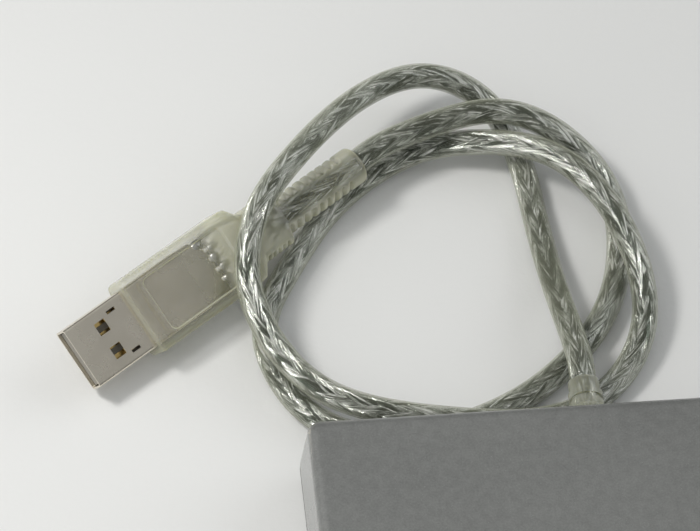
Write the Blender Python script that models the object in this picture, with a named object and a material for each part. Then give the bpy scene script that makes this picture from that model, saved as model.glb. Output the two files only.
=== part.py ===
# External floppy disk drive with its cable, loose loops and plug.
# Metres, +Z up, the origin under the middle of the drive, +Y toward the rear wall that the cable leaves.
import math

import bmesh
import bpy
import numpy as np
from mathutils import Matrix, Vector

for old in list(bpy.data.objects):
    bpy.data.objects.remove(old, do_unlink=True)

# Case
CASE_ROOM = 0.00085
CASE_Y_FRONT = -0.0663
CASE_Y_REAR = 0.071
CASE_TOP_Z = 0.018
CASE_BASE_Z = 0.0012
PARTING_Z = 0.0058
PARTING_GAP = 0.0003
WALL = 0.0018
LID_THICK = 0.0016
TOP_DRAFT = 0.0009
BASE_DRAFT = 0.0011
TOP_ROUND = 0.0016
BASE_ROUND = 0.0009
PLAN_ROUND = 0.0032
PARTING_ROUND = 0.0003
FIT = 0.0003
OVERRUN = 0.002
SEAM_OVERLAP = 0.0002

# Front bezel, dust flap, eject button and lens
BEZEL_T = 0.0039
BEZEL_FRONT_ROUND = 0.0009
DISK_W = 0.090
DISK_L = 0.094
DISK_T = 0.0033
SLOT_ROOM = 0.0007
SLOT_H = 0.0046
SLOT_Z = 0.0123
SLOT_FLARE = 0.0006
FLAP_T = 0.0007
FLAP_OVERLAP = 0.0003
FLAP_HINGE_R = 0.0005
FLAP_BARREL_R = 0.0006
FLAP_HINGE_Z = 0.01525
FLAP_EAR_T = 0.0012
FLAP_EAR_H = 0.0016
FLAP_EAR_D = 0.0016
BUTTON_W = 0.0142
BUTTON_H = 0.0036
BUTTON_INSET = 0.0175
BUTTON_Z = 0.0063
BUTTON_PROUD = 0.0005
BUTTON_ROUND = 0.0006
BUTTON_GRIP_D = 0.0004
BUTTON_GRIP_W = 0.0006
BUTTON_GRIP_PITCH = 0.0014
LENS_W = 0.004
LENS_H = 0.0017
LENS_INSET = 0.0155
LENS_Z = 0.00505
LENS_PROUD = 0.0003
LENS_L = 0.0038

# Feet and case screws
FOOT_R = 0.004
FOOT_T = 0.0009
FOOT_ROUND = 0.0003
FOOT_INSET = 0.0115
FOOT_FROM_FRONT = 0.0103
FOOT_FROM_REAR = 0.019
SCREW_INSET = 0.0095
SCREW_FROM_REAR = 0.0078
SCREW_HEAD_R = 0.0026
SCREW_HEAD_T = 0.0010
SCREW_R = 0.0010
SCREW_L = 0.0085
SCREW_SUNK = 0.0003
SCREW_DRIVE_R = 0.0011
SCREW_DRIVE_D = 0.0005
BOSS_R = 0.0034
BOSS_SPLIT_Z = 0.0042

# Sheet-metal chassis with its walls, posts and brackets
SHEET = 0.0009
CHASSIS_LIFT = 0.0004
CHASSIS_FROM_FRONT = 0.0043
CHASSIS_FROM_REAR = 0.013
CHASSIS_WALL_TOP = 0.0142
CHASSIS_POST_R = 0.0028
CHASSIS_SCREW_INSET = 0.0095
CHASSIS_SCREW_FROM_FRONT = 0.032
CHASSIS_SCREW_REAR_INSET = 0.012
CHASSIS_SCREW_FROM_REAR = 0.012
CHASSIS_SCREW_HEAD_R = 0.0020
CHASSIS_SCREW_R = 0.0007
CHASSIS_SCREW_DEPTH = 0.0010
BRACKET_T = 0.0015
BRACKET_HALF = 0.0030
BRACKET_TOP = 0.0112

# Disk holder, its guide pins and the slider that moves it
HOLDER_SHEET = 0.0007
HOLDER_SIDE_T = 0.0006
HOLDER_ROOM = 0.00015
HOLDER_H = 0.0043
HOLDER_Z = 0.0103
HOLDER_Y0 = -0.0595
HOLDER_Y1 = 0.030
HOLDER_LIP = 0.0035
HOLDER_SLOT_W = 0.0165
HOLDER_SLOT_Y = 0.0015
HOLDER_DROP = 0.0024
GUIDE_PIN_R = 0.0008
GUIDE_PIN_Z = 0.0124
GUIDE_PIN_Y_FRONT = -0.042
GUIDE_PIN_Y_REAR = 0.014
GUIDE_PLAY = 0.00032
SLIDER_T = 0.0007
SLIDER_Z0 = 0.0052
SLIDER_Z1 = 0.0142
SLIDER_Y1 = 0.023
SLIDER_TRAVEL = 0.0055
SLIDER_BAR_Y0 = -0.0603
SLIDER_BAR_D = 0.003
SLIDER_BAR_Z0 = 0.0057
SLIDER_BAR_Z1 = 0.0070
SPRING_R = 0.0009
SPRING_WIRE_R = 0.00016
SPRING_L = 0.0095
SPRING_X = 0.030
SPRING_Z = 0.0057
SPRING_TAB_W = 0.004
SPRING_TAB_T = 0.001
SPRING_TURNS = 10

# Shutter lever on top of the holder
LEVER_INSET = 0.01275
LEVER_Y = 0.012
LEVER_L = 0.022
LEVER_T = 0.0005
LEVER_W = 0.0036
LEVER_HUB_R = 0.0030
LEVER_STUD_R = 0.0010
LEVER_PIN_R = 0.0007
LEVER_PIN_DEPTH = 0.0040
LEVER_REST_DEG = 205.0
LEVER_SWING_DEG = 35.0

# Spindle: rotor with hub, stator, bearing and motor board
SPINDLE_Y = -0.017
ROTOR_R = 0.020
ROTOR_RIM_T = 0.0012
ROTOR_Z0 = 0.0057
ROTOR_TOP_Z = 0.0076
ROTOR_PLATE_T = 0.0007
HUB_R = 0.0124
HUB_TOP_Z = 0.0084
SHAFT_R = 0.0015
SHAFT_Z0 = 0.0045
CENTRE_PIN_R = 0.0019
CENTRE_PIN_Z = 0.0096
DRIVE_PEG_R = 0.0012
DRIVE_PEG_AT = 0.0090
DRIVE_PEG_H = 0.0006
ROTOR_HOLE_R = 0.0014
ROTOR_HOLE_INSET = 0.0038
STATOR_GAP = 0.0016
STATOR_RING_R = 0.0072
STATOR_BORE_R = 0.0042
STATOR_ARM_W = 0.0020
STATOR_SHOE_T = 0.0016
STATOR_T = 0.0009
STATOR_ARMS = 9
BEARING_R = 0.0026
BEARING_BORE_R = 0.0018
BOARD_T = 0.0008
BOARD_HOLE_R = 0.0030
MOTOR_BOARD_W = 0.056
MOTOR_BOARD_Y0 = -0.042
MOTOR_BOARD_Y1 = 0.008

# Head carriage, arm, heads, guide rod, lead screw and stepper
HEAD_TRAVEL = 0.015
HEAD_Y = 0.0225
HEAD_HALF_W = 0.0016
HEAD_HALF_L = 0.0018
HEAD_TOP_Z = 0.0094
LOWER_ARM_W = 0.010
LOWER_ARM_Z0 = 0.0060
LOWER_ARM_T = 0.0012
LOWER_ARM_TIP = 0.0026
BLOCK_Y0 = 0.046
BLOCK_Y1 = 0.056
BLOCK_X0 = -0.017
BLOCK_X1 = 0.0085
BLOCK_Z0 = 0.0054
BLOCK_Z1 = 0.0112
NUT_X1 = 0.0190
NUT_L = 0.0045
ROD_X = -0.013
SCREW_AXIS_X = 0.0145
DRIVE_AXIS_Z = 0.0085
ROD_R = 0.0015
LEAD_R = 0.0013
LEAD_Y0 = 0.0225
LEAD_Y1 = 0.0605
RUNNING = 0.00032
EAR_X = 0.0056
EAR_T = 0.0016
EAR_HALF_Y = 0.0019
EAR_TOP_Z = 0.0145
HINGE_Y = 0.052
HINGE_Z = 0.0129
HINGE_PIN_R = 0.0006
ARM_BARREL_R = 0.0014
ARM_W = 0.0100
ARM_T = 0.0009
ARM_TOP_Z = 0.0159
ARM_RISE_Y = 0.0445
ARM_TIP = 0.0030
ARM_LOWER_DEG = 7.0
UPPER_HEAD_T = 0.0007
STEPPER_R = 0.0041
STEPPER_Y0 = 0.0582
STEPPER_L = 0.0085
STEPPER_BOSS_R = 0.0026
STEPPER_BOSS_L = 0.0008
STEPPER_BORE_R = 0.0017
STEPPER_BORE_L = 0.0034
STEPPER_SEAT_W = 0.011
STEPPER_SEAT_Y1 = 0.067

# Boards, chips, header, lamp and switch
LOGIC_W = 0.0262
LOGIC_L = 0.032
LOGIC_FROM_REAR = 0.001
CHIP_T = 0.0011
CONTROLLER_W = 0.0100
CONTROLLER_AT_X = 0.008
CONTROLLER_AT_Y = 0.014
DRIVER_W = 0.0060
DRIVER_L = 0.0080
DRIVER_AT_X = 0.0195
DRIVER_AT_Y = 0.007
CRYSTAL_W = 0.0032
CRYSTAL_L = 0.0090
CRYSTAL_H = 0.0030
CRYSTAL_AT_X = 0.0200
CRYSTAL_AT_Y = 0.019
HEADER_W = 0.0090
HEADER_D = 0.0050
HEADER_H = 0.0048
HEADER_AT_X = 0.0172
HEADER_AT_Y = 0.0278
HEADER_WALL = 0.0007
LAMP_BOARD_W = 0.014
LAMP_BOARD_Y1 = -0.054
LAMP_BOARD_Y0 = -0.0655
LAMP_BOARD_T = 0.0005
LAMP_W = 0.0026
LAMP_D = 0.0012
LAMP_H = 0.0004
SWITCH_INSET = 0.011
SWITCH_AHEAD = 0.016
SWITCH_W = 0.0060
SWITCH_L = 0.0050
SWITCH_H = 0.0020
SWITCH_TIP_R = 0.0008
SWITCH_TIP_H = 0.0007

# Cable gland, inner lead and cable
EXIT_Z = 0.0094
GLAND_FLANGE_R = 0.0041
GLAND_FLANGE_T = 0.0020
GLAND_NECK_R = 0.0025
GLAND_RING_R = 0.0031
GLAND_TIP_R = 0.0028
GLAND_END_Y = 0.0793
GLAND_INNER_T = 0.0014
GLAND_RIB_T = 0.0009
GLAND_RIB_D = 0.0004
CORD_R = 0.00235
CORD_TABLE_GAP = 0.00005
LEAD_WIRE_R = 0.0011
CORD_POINTS = 78

# The cable's route: out of the gland, over the plug, round by the rear wall, up and over itself, and back to the plug
CORD_ROUTE = [
    (0.0, 0.0796, 0.0094), (0.0, 0.0848, 0.0093), (-0.0012, 0.097, 0.0068), (-0.0022, 0.1095, 0.0038),
    (-0.003, 0.1215, 0.0025), (-0.0043, 0.1335, 0.0026), (-0.0095, 0.1445, 0.0056), (-0.02, 0.1485, 0.009),
    (-0.031, 0.144, 0.0116), (-0.04, 0.1355, 0.0144), (-0.0475, 0.126, 0.017), (-0.0545, 0.116, 0.0166),
    (-0.0575, 0.1045, 0.0128), (-0.0545, 0.0935, 0.009), (-0.047, 0.0835, 0.0073), (-0.0365, 0.0775, 0.0076),
    (-0.0245, 0.0745, 0.0078), (-0.012, 0.0745, 0.0054), (-0.0005, 0.078, 0.0027), (0.009, 0.0855, 0.0026),
    (0.014, 0.0965, 0.0046), (0.013, 0.1085, 0.0076), (0.0085, 0.12, 0.0091), (0.0005, 0.1295, 0.009),
    (-0.0105, 0.1345, 0.0066), (-0.0225, 0.1355, 0.0038), (-0.034, 0.13, 0.0025), (-0.0425, 0.1215, 0.0025),
    (-0.0495, 0.111, 0.0025), (-0.0545, 0.1, 0.0025), (-0.0525, 0.0875, 0.0025), (-0.045, 0.078, 0.0025),
    (-0.0335, 0.0745, 0.0025), (-0.021, 0.0765, 0.0025), (-0.0095, 0.0815, 0.0025), (0.0, 0.089, 0.0025),
    (0.0075, 0.099, 0.0025), (0.0115, 0.111, 0.0026), (0.0112, 0.123, 0.0042), (0.0045, 0.1333, 0.0074),
    (-0.0065, 0.1385, 0.0102), (-0.019, 0.1372, 0.0101), (-0.0305, 0.133, 0.0094), (-0.0351, 0.1297, 0.0093),
]

# Plug: it lies rolled on its lower long edge, with its strain relief resting over the cable
PLUG_END = (-0.0353, 0.1295, 0.00925)
PLUG_TIP = (-0.0886, 0.0922, 0.00695)
PLUG_ROLL_DEG = 30.0
RELIEF_R = 0.0036
RELIEF_GROOVE = 0.0006
RELIEF_L = 0.0190
RELIEF_RIBS = 7
GRIP_HALF_W = 0.0052
GRIP_HALF_T = 0.0039
GRIP_L = 0.0075
GRIP_GROOVE = 0.0005
GRIP_RIBS = 3
BLOCK_HALF_W = 0.0075
BLOCK_HALF_T = 0.0041
BLOCK_ROUND = 0.0013
BLOCK_END_ROUND = 0.0009
SHELL_HALF_W = 0.0060
SHELL_HALF_T = 0.00225
SHELL_ROUND = 0.0006
SHELL_WALL = 0.00035
SHELL_OUT = 0.0130
SHELL_IN = 0.0128
POCKET_SPARE = 0.0004
WINDOW_W = 0.0024
WINDOW_L = 0.0022
WINDOW_X = 0.0025
WINDOW_FROM_TIP = 0.0064
SLIT_W = 0.0006
SLIT_L = 0.0018
SLIT_X = 0.0041
SLIT_BEHIND = 0.0030
TONGUE_HALF_W = 0.0054
TONGUE_T = 0.0017
TONGUE_SHORT = 0.0006
TONGUE_BASE_L = 0.0040
CONTACT_W = 0.0011
CONTACT_T = 0.00025
CONTACT_GAP = 0.0001
CONTACT_PITCH = 0.0023
CONTACT_SHORT = 0.0012

# Widths, from the disk outward: holder, slider rails, chassis walls and case
HOLDER_IN = DISK_W / 2 + HOLDER_ROOM
HOLDER_OUT = HOLDER_IN + HOLDER_SIDE_T
RAIL_X0 = HOLDER_OUT + FIT
RAIL_X1 = RAIL_X0 + SLIDER_T
WALL_X0 = RAIL_X1 + FIT
WALL_X1 = WALL_X0 + SHEET
CASE_W = 2 * (WALL_X1 + CASE_ROOM + TOP_DRAFT + WALL)
SLOT_W = DISK_W + 2 * SLOT_ROOM

# Places along and across the case, each from the edge that carries it
BUTTON_X = CASE_W / 2 - BUTTON_INSET
LENS_X = LENS_INSET - CASE_W / 2
FOOT_X = CASE_W / 2 - FOOT_INSET
FOOT_Y_FRONT = CASE_Y_FRONT + FOOT_FROM_FRONT
FOOT_Y_REAR = CASE_Y_REAR - FOOT_FROM_REAR
SCREW_X = CASE_W / 2 - SCREW_INSET
SCREW_Y = CASE_Y_REAR - SCREW_FROM_REAR
CHASSIS_Y0 = CASE_Y_FRONT + CHASSIS_FROM_FRONT
CHASSIS_Y1 = CASE_Y_REAR - CHASSIS_FROM_REAR
CHASSIS_SCREW_X = WALL_X1 - CHASSIS_SCREW_INSET
CHASSIS_SCREW_Y = CHASSIS_Y0 + CHASSIS_SCREW_FROM_FRONT
CHASSIS_SCREW_REAR_X = WALL_X1 - CHASSIS_SCREW_REAR_INSET
CHASSIS_SCREW_REAR_Y = CHASSIS_Y1 - CHASSIS_SCREW_FROM_REAR
LOGIC_X0 = FIT - WALL_X0
LOGIC_X1 = LOGIC_X0 + LOGIC_W
LOGIC_Y1 = CHASSIS_Y1 - LOGIC_FROM_REAR
LOGIC_Y0 = LOGIC_Y1 - LOGIC_L
CONTROLLER_X, CONTROLLER_Y = LOGIC_X0 + CONTROLLER_AT_X, LOGIC_Y0 + CONTROLLER_AT_Y
DRIVER_X, DRIVER_Y = LOGIC_X0 + DRIVER_AT_X, LOGIC_Y0 + DRIVER_AT_Y
CRYSTAL_X, CRYSTAL_Y = LOGIC_X0 + CRYSTAL_AT_X, LOGIC_Y0 + CRYSTAL_AT_Y
HEADER_X, HEADER_Y = LOGIC_X0 + HEADER_AT_X, LOGIC_Y0 + HEADER_AT_Y
SWITCH_X = SWITCH_INSET - WALL_X0
LEVER_X = HOLDER_OUT - LEVER_INSET
STATOR_R = ROTOR_R - ROTOR_RIM_T - STATOR_GAP
ROTOR_HOLE_AT = ROTOR_R - ROTOR_HOLE_INSET
SWITCH_Y = HOLDER_Y1 - SWITCH_AHEAD

MATERIALS = {
    "case": ((0.2, 0.197, 0.203, 1), 0.5, 0.1),
    "dark_plastic": ((0.05, 0.05, 0.055, 1), 0.5, 0.0),
    "lens_green": ((0.25, 0.6, 0.2, 1), 0.2, 0.0),
    "rubber": ((0.03, 0.03, 0.03, 1), 0.9, 0.0),
    "steel": ((0.62, 0.63, 0.65, 1), 0.35, 0.9),
    "zinc_sheet": ((0.55, 0.56, 0.58, 1), 0.45, 0.85),
    "board_green": ((0.03, 0.16, 0.08, 1), 0.45, 0.0),
    "chip_black": ((0.02, 0.02, 0.022, 1), 0.5, 0.0),
    "copper": ((0.72, 0.38, 0.22, 1), 0.4, 0.9),
    "gold": ((0.85, 0.65, 0.3, 1), 0.25, 0.95),
    "clear_pvc": ((0.72, 0.73, 0.66, 0.6), 0.3, 0.0),
    "cord_silver": ((0.45, 0.46, 0.44, 1), 0.35, 0.3),
    "white_plastic": ((0.85, 0.84, 0.8, 1), 0.5, 0.0),
    "brass": ((0.75, 0.6, 0.3, 1), 0.35, 0.9),
    "nickel": ((0.72, 0.7, 0.66, 1), 0.28, 0.95),
}
made_materials = {}


def material(name):
    if name not in made_materials:
        colour, rough, metal = MATERIALS[name]
        mat = bpy.data.materials.new(name)
        mat.use_nodes = True
        shader = mat.node_tree.nodes["Principled BSDF"]
        shader.inputs["Base Color"].default_value = colour
        shader.inputs["Roughness"].default_value = rough
        shader.inputs["Metallic"].default_value = metal
        mat.diffuse_color = colour
        made_materials[name] = mat
    return made_materials[name]


def node(name, bm, mat, smooth=False, place=None):
    """One sub-part from a bmesh, with its faces turned out."""
    bmesh.ops.recalc_face_normals(bm, faces=bm.faces)
    if place is not None:
        bm.transform(place)
    mesh = bpy.data.meshes.new(name)
    bm.to_mesh(mesh)
    bm.free()
    if smooth:
        for face in mesh.polygons:
            face.use_smooth = True
    mesh.materials.append(material(mat))
    obj = bpy.data.objects.new(name, mesh)
    bpy.context.scene.collection.objects.link(obj)
    return obj


def loft(rings):
    """A closed skin through rings of equal counts, capped at both ends."""
    bm = bmesh.new()
    rows = [[bm.verts.new(p) for p in ring] for ring in rings]
    count = len(rows[0])
    for low, high in zip(rows[:-1], rows[1:]):
        for i in range(count):
            j = (i + 1) % count
            bm.faces.new((low[i], low[j], high[j], high[i]))
    bm.faces.new(rows[0])
    bm.faces.new(rows[-1])
    return bm


def box(x0, x1, y0, y1, z0, z1):
    corners = [(x0, y0), (x1, y0), (x1, y1), (x0, y1)]
    return loft([[(x, y, z) for x, y in corners] for z in (z0, z1)])


def rounded(bm, width, segments=2, pick=None):
    """Rounds the edges that pick chooses, all of them by default."""
    edges = [e for e in bm.edges if pick is None or pick(e)]
    bmesh.ops.bevel(bm, geom=edges, offset=width, segments=segments, profile=0.5, affect="EDGES")
    return bm


def prism(outline, axis, low, high):
    """An outline of (a, b) points pushed along an axis: x takes (y, z), y takes (x, z) and z takes (x, y)."""
    put = {"x": lambda a, b, c: (c, a, b), "y": lambda a, b, c: (a, c, b), "z": lambda a, b, c: (a, b, c)}[axis]
    return loft([[put(a, b, c) for a, b in outline] for c in (low, high)])


def circle(cx, cy, radius, count=24):
    return [
        (cx + radius * math.cos(2 * math.pi * i / count), cy + radius * math.sin(2 * math.pi * i / count))
        for i in range(count)
    ]


def capsule(ax, ay, bx, by, radius, count=8):
    """The outline of a slot with round ends, from point a to point b."""
    turn = math.atan2(by - ay, bx - ax)
    outline = []
    for cx, cy, start in ((bx, by, turn - math.pi / 2), (ax, ay, turn + math.pi / 2)):
        for i in range(count + 1):
            angle = start + math.pi * i / count
            outline.append((cx + radius * math.cos(angle), cy + radius * math.sin(angle)))
    return outline


def corner_rect(half_x, half_y, radius, per_corner=4):
    """A rectangle with round corners, as a list of (x, y)."""
    outline = []
    for sx, sy, start in ((1, 1, 0), (-1, 1, 90), (-1, -1, 180), (1, -1, 270)):
        for i in range(per_corner + 1):
            angle = math.radians(start + 90 * i / per_corner)
            outline.append(
                (sx * (half_x - radius) + radius * math.cos(angle), sy * (half_y - radius) + radius * math.sin(angle))
            )
    return outline


def turned(profile, count=32):
    """A body of revolution about Z from (radius, z) points whose first and last lie on the axis."""
    bm = bmesh.new()
    verts = [bm.verts.new((r, 0, z)) for r, z in profile]
    edges = [bm.edges.new(pair) for pair in zip(verts[:-1], verts[1:])]
    bmesh.ops.spin(
        bm, geom=verts + edges, cent=(0, 0, 0), axis=(0, 0, 1), angle=2 * math.pi, steps=count, use_duplicate=False
    )
    bmesh.ops.remove_doubles(bm, verts=bm.verts, dist=WELD)
    return bm


WELD = 0.000001
ALONG_Y = Matrix.Rotation(math.radians(-90), 4, "X")


def bored(bm_list):
    """Several closed bodies in one mesh, for use as one cutter."""
    whole = bmesh.new()
    for bm in bm_list:
        bmesh.ops.recalc_face_normals(bm, faces=bm.faces)
        mesh = bpy.data.meshes.new("tool")
        bm.to_mesh(mesh)
        bm.free()
        whole.from_mesh(mesh)
        bpy.data.meshes.remove(mesh)
    return whole


def combine(obj, operation, bodies, place=None):
    """An exact Boolean of the object with tool bodies that don't overlap each other."""
    tool = node(f"tool_{operation.lower()}_{obj.name}"[:50], bored(bodies), "steel", place=place)
    tool.hide_render = True
    tool.display_type = "WIRE"
    modifier = obj.modifiers.new(operation.lower(), "BOOLEAN")
    modifier.operation = operation
    modifier.solver = "EXACT"
    modifier.object = tool
    return obj


def cut(obj, bodies, place=None):
    return combine(obj, "DIFFERENCE", bodies, place)


def join(obj, bodies, place=None):
    return combine(obj, "UNION", bodies, place)


# The case halves are lofted shells that share one plan outline and meet at the parting line
PLAN_LENGTH = CASE_Y_REAR - CASE_Y_FRONT
PLAN_FRONT = CASE_Y_FRONT - 2 * PLAN_ROUND
PLAN_HALF_Y = (CASE_Y_REAR - PLAN_FRONT) / 2
PLAN_MID_Y = (CASE_Y_REAR + PLAN_FRONT) / 2


def plan_ring(inset, z, spare=0.0):
    radius = max(PLAN_ROUND - inset, WALL / 2)
    ring = corner_rect(CASE_W / 2 - inset, PLAN_HALF_Y - inset, radius)
    return [(x, y + PLAN_MID_Y, z) for x, y in ring]


ARC_SHARES = [0.0, 0.25, 0.5, 0.75, 1.0]


def arc_steps(radius, inset, z, up):
    """(inset, z) points of a quarter round that turns a wall over into a lid."""
    return [
        (inset + radius * (1 - math.cos(math.pi / 2 * s)), z + up * radius * math.sin(math.pi / 2 * s)) for s in ARC_SHARES
    ]


TOP_OUTER = [(PARTING_ROUND, PARTING_Z + PARTING_GAP / 2), (0.0, PARTING_Z + PARTING_GAP / 2 + PARTING_ROUND)] + arc_steps(
    TOP_ROUND, TOP_DRAFT, CASE_TOP_Z - TOP_ROUND, 1
)
BASE_OUTER = [(PARTING_ROUND, PARTING_Z - PARTING_GAP / 2), (0.0, PARTING_Z - PARTING_GAP / 2 - PARTING_ROUND)] + arc_steps(
    BASE_ROUND, BASE_DRAFT, CASE_BASE_Z + BASE_ROUND, -1
)
CEILING_Z = CASE_TOP_Z - LID_THICK
FLOOR_Z = CASE_BASE_Z + LID_THICK

top_rings = [
    plan_ring(TOP_DRAFT + WALL, CEILING_Z),
    plan_ring(WALL, PARTING_Z + PARTING_GAP / 2),
] + [plan_ring(inset, z) for inset, z in TOP_OUTER]
top_cover = node("top_cover", loft(top_rings), "case")

base_rings = [
    plan_ring(BASE_DRAFT + WALL, FLOOR_Z),
    plan_ring(WALL, PARTING_Z - PARTING_GAP / 2),
] + [plan_ring(inset, z) for inset, z in BASE_OUTER]
bottom_cover = node("bottom_cover", loft(base_rings), "case")

FRONT_CUT = (-CASE_W, CASE_W, PLAN_FRONT - OVERRUN, CASE_Y_FRONT)
TOP_BOSS_Z = BOSS_SPLIT_Z + FIT

# Screw bosses hang from the lid and stand on the floor, one over the other
join(
    top_cover,
    [
        prism(circle(side * SCREW_X, SCREW_Y, BOSS_R), "z", TOP_BOSS_Z, CEILING_Z + LID_THICK / 2)
        for side in (-1, 1)
    ],
)
join(
    bottom_cover,
    [prism(circle(side * SCREW_X, SCREW_Y, BOSS_R), "z", FLOOR_Z - LID_THICK / 2, BOSS_SPLIT_Z) for side in (-1, 1)]
    + [
        prism(circle(x, y, CHASSIS_POST_R, 16), "z", FLOOR_Z - LID_THICK / 2, FLOOR_Z + CHASSIS_LIFT / 4)
        for x, y in (
            (-CHASSIS_SCREW_X, CHASSIS_SCREW_Y),
            (CHASSIS_SCREW_X, CHASSIS_SCREW_Y),
            (CHASSIS_SCREW_REAR_X, CHASSIS_SCREW_REAR_Y),
        )
    ],
)
HEAD_Z0 = CASE_BASE_Z + SCREW_SUNK
HEAD_Z1 = HEAD_Z0 + SCREW_HEAD_T
cut(
    top_cover,
    [box(FRONT_CUT[0], FRONT_CUT[1], FRONT_CUT[2], FRONT_CUT[3], CASE_BASE_Z, CASE_TOP_Z + OVERRUN)]
    + [
        prism(circle(side * SCREW_X, SCREW_Y, SCREW_R + FIT, 16), "z", TOP_BOSS_Z - OVERRUN, HEAD_Z1 + SCREW_L + FIT)
        for side in (-1, 1)
    ]
    + [prism(circle(0, EXIT_Z, GLAND_NECK_R + FIT), "y", CASE_Y_REAR - 2 * WALL, CASE_Y_REAR + OVERRUN)],
)
cut(
    bottom_cover,
    [box(FRONT_CUT[0], FRONT_CUT[1], FRONT_CUT[2], FRONT_CUT[3], CASE_BASE_Z - OVERRUN, CASE_TOP_Z)]
    + [
        loft(
            [
                [(x, y, z) for x, y in circle(side * SCREW_X, SCREW_Y, radius)]
                for radius, z in (
                    (SCREW_HEAD_R + FIT, CASE_BASE_Z - OVERRUN),
                    (SCREW_HEAD_R + FIT, HEAD_Z1 + FIT),
                    (SCREW_R + FIT, HEAD_Z1 + FIT),
                    (SCREW_R + FIT, BOSS_SPLIT_Z + OVERRUN),
                )
            ]
        )
        for side in (-1, 1)
    ]
    + [
        prism(circle(x, y, CHASSIS_SCREW_R + FIT, 12), "z", FLOOR_Z - CHASSIS_SCREW_DEPTH, FLOOR_Z + OVERRUN)
        for x, y in (
            (-CHASSIS_SCREW_X, CHASSIS_SCREW_Y),
            (CHASSIS_SCREW_X, CHASSIS_SCREW_Y),
            (CHASSIS_SCREW_REAR_X, CHASSIS_SCREW_REAR_Y),
        )
    ],
)

# The bezel closes the front: its outline is the case's own section, pushed forward and rounded at its front edge
BEZEL_Y1 = CASE_Y_FRONT - FIT
BEZEL_Y0 = BEZEL_Y1 - BEZEL_T


def section(inset):
    """The case's outline seen from the front, drawn in by inset."""
    side = [(CASE_W / 2 - i - inset, z) for i, z in arc_steps(BASE_ROUND, BASE_DRAFT, CASE_BASE_Z + BASE_ROUND, -1)][::-1]
    side += [(CASE_W / 2 - inset, PARTING_Z)]
    side += [(CASE_W / 2 - i - inset, z) for i, z in arc_steps(TOP_ROUND, TOP_DRAFT, CASE_TOP_Z - TOP_ROUND, 1)]
    middle = (CASE_BASE_Z + CASE_TOP_Z) / 2
    squash = (CASE_TOP_Z - CASE_BASE_Z - 2 * inset) / (CASE_TOP_Z - CASE_BASE_Z)
    side = [(x, middle + (z - middle) * squash) for x, z in side]
    return side + [(-x, z) for x, z in side[::-1]]


bezel_rings = [(0.0, BEZEL_Y1), (0.0, BEZEL_Y0 + BEZEL_FRONT_ROUND)] + [
    (BEZEL_FRONT_ROUND * (1 - math.cos(math.pi / 2 * s)), BEZEL_Y0 + BEZEL_FRONT_ROUND * (1 - math.sin(math.pi / 2 * s)))
    for s in ARC_SHARES[1:]
]
front_bezel = node("front_bezel", loft([[(x, y, z) for x, z in section(inset)] for inset, y in bezel_rings]), "case")

SLOT_Z0 = SLOT_Z - SLOT_H / 2
SLOT_Z1 = SLOT_Z + SLOT_H / 2
FLAP_Y1 = BEZEL_Y1 + FIT + FLAP_T
FLAP_Y0 = BEZEL_Y1 + FIT
FLAP_HINGE_Y = FLAP_Y1 + FLAP_BARREL_R / 2
FLAP_HALF_W = SLOT_W / 2 + FLAP_OVERLAP / 2
EAR_X0 = FLAP_HALF_W + FIT * 2
EAR_Z0 = SLIDER_Z1 + FIT
join(
    front_bezel,
    [
        box(
            min(side * EAR_X0, side * (EAR_X0 + FLAP_EAR_T)),
            max(side * EAR_X0, side * (EAR_X0 + FLAP_EAR_T)),
            BEZEL_Y1 - SEAM_OVERLAP,
            FLAP_HINGE_Y + FLAP_EAR_D / 2,
            EAR_Z0,
            EAR_Z0 + FLAP_EAR_H,
        )
        for side in (-1, 1)
    ],
)
flare = [
    [
        (sx * (SLOT_W / 2 + grow), y, z)
        for sx, z in ((1, SLOT_Z1 + grow), (-1, SLOT_Z1 + grow), (-1, SLOT_Z0 - grow), (1, SLOT_Z0 - grow))
    ]
    for grow, y in ((SLOT_FLARE + OVERRUN, BEZEL_Y0 - OVERRUN), (0.0, BEZEL_Y0 + SLOT_FLARE), (0.0, BEZEL_Y1 + SEAM_OVERLAP))
]
BUTTON_X0 = BUTTON_X - BUTTON_W / 2
BUTTON_X1 = BUTTON_X + BUTTON_W / 2
cut(
    front_bezel,
    [
        loft(flare),
        box(
            BUTTON_X0 - FIT,
            BUTTON_X1 + FIT,
            BEZEL_Y0 - OVERRUN,
            BEZEL_Y1 + OVERRUN,
            BUTTON_Z - BUTTON_H / 2 - FIT,
            BUTTON_Z + BUTTON_H / 2 + FIT,
        ),
        box(
            LENS_X - LENS_W / 2 - FIT,
            LENS_X + LENS_W / 2 + FIT,
            BEZEL_Y0 - OVERRUN,
            BEZEL_Y1 + OVERRUN,
            LENS_Z - LENS_H / 2 - FIT,
            LENS_Z + LENS_H / 2 + FIT,
        ),
    ]
    + [
        prism(
            circle(FLAP_HINGE_Y, FLAP_HINGE_Z, FLAP_HINGE_R + FIT / 2, 12),
            "x",
            min(side * (EAR_X0 - FIT), side * (EAR_X0 + FLAP_EAR_T + FIT)),
            max(side * (EAR_X0 - FIT), side * (EAR_X0 + FLAP_EAR_T + FIT)),
        )
        for side in (-1, 1)
    ],
)

# The dust flap hangs behind the slot from its hinge barrel and swings inward
FLAP_Z0 = SLOT_Z0 - FLAP_OVERLAP
dust_flap = node(
    "dust_flap",
    prism(circle(FLAP_HINGE_Y, FLAP_HINGE_Z, FLAP_BARREL_R, 16), "x", -FLAP_HALF_W, FLAP_HALF_W),
    "dark_plastic",
)
join(
    dust_flap,
    [
        box(-FLAP_HALF_W, FLAP_HALF_W, FLAP_Y0, FLAP_Y1, FLAP_Z0, FLAP_HINGE_Z),
    ],
)
join(
    dust_flap,
    [
        prism(circle(FLAP_HINGE_Y, FLAP_HINGE_Z, FLAP_HINGE_R, 12), "x", -EAR_X0 - FLAP_EAR_T, EAR_X0 + FLAP_EAR_T),
    ],
)

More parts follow.
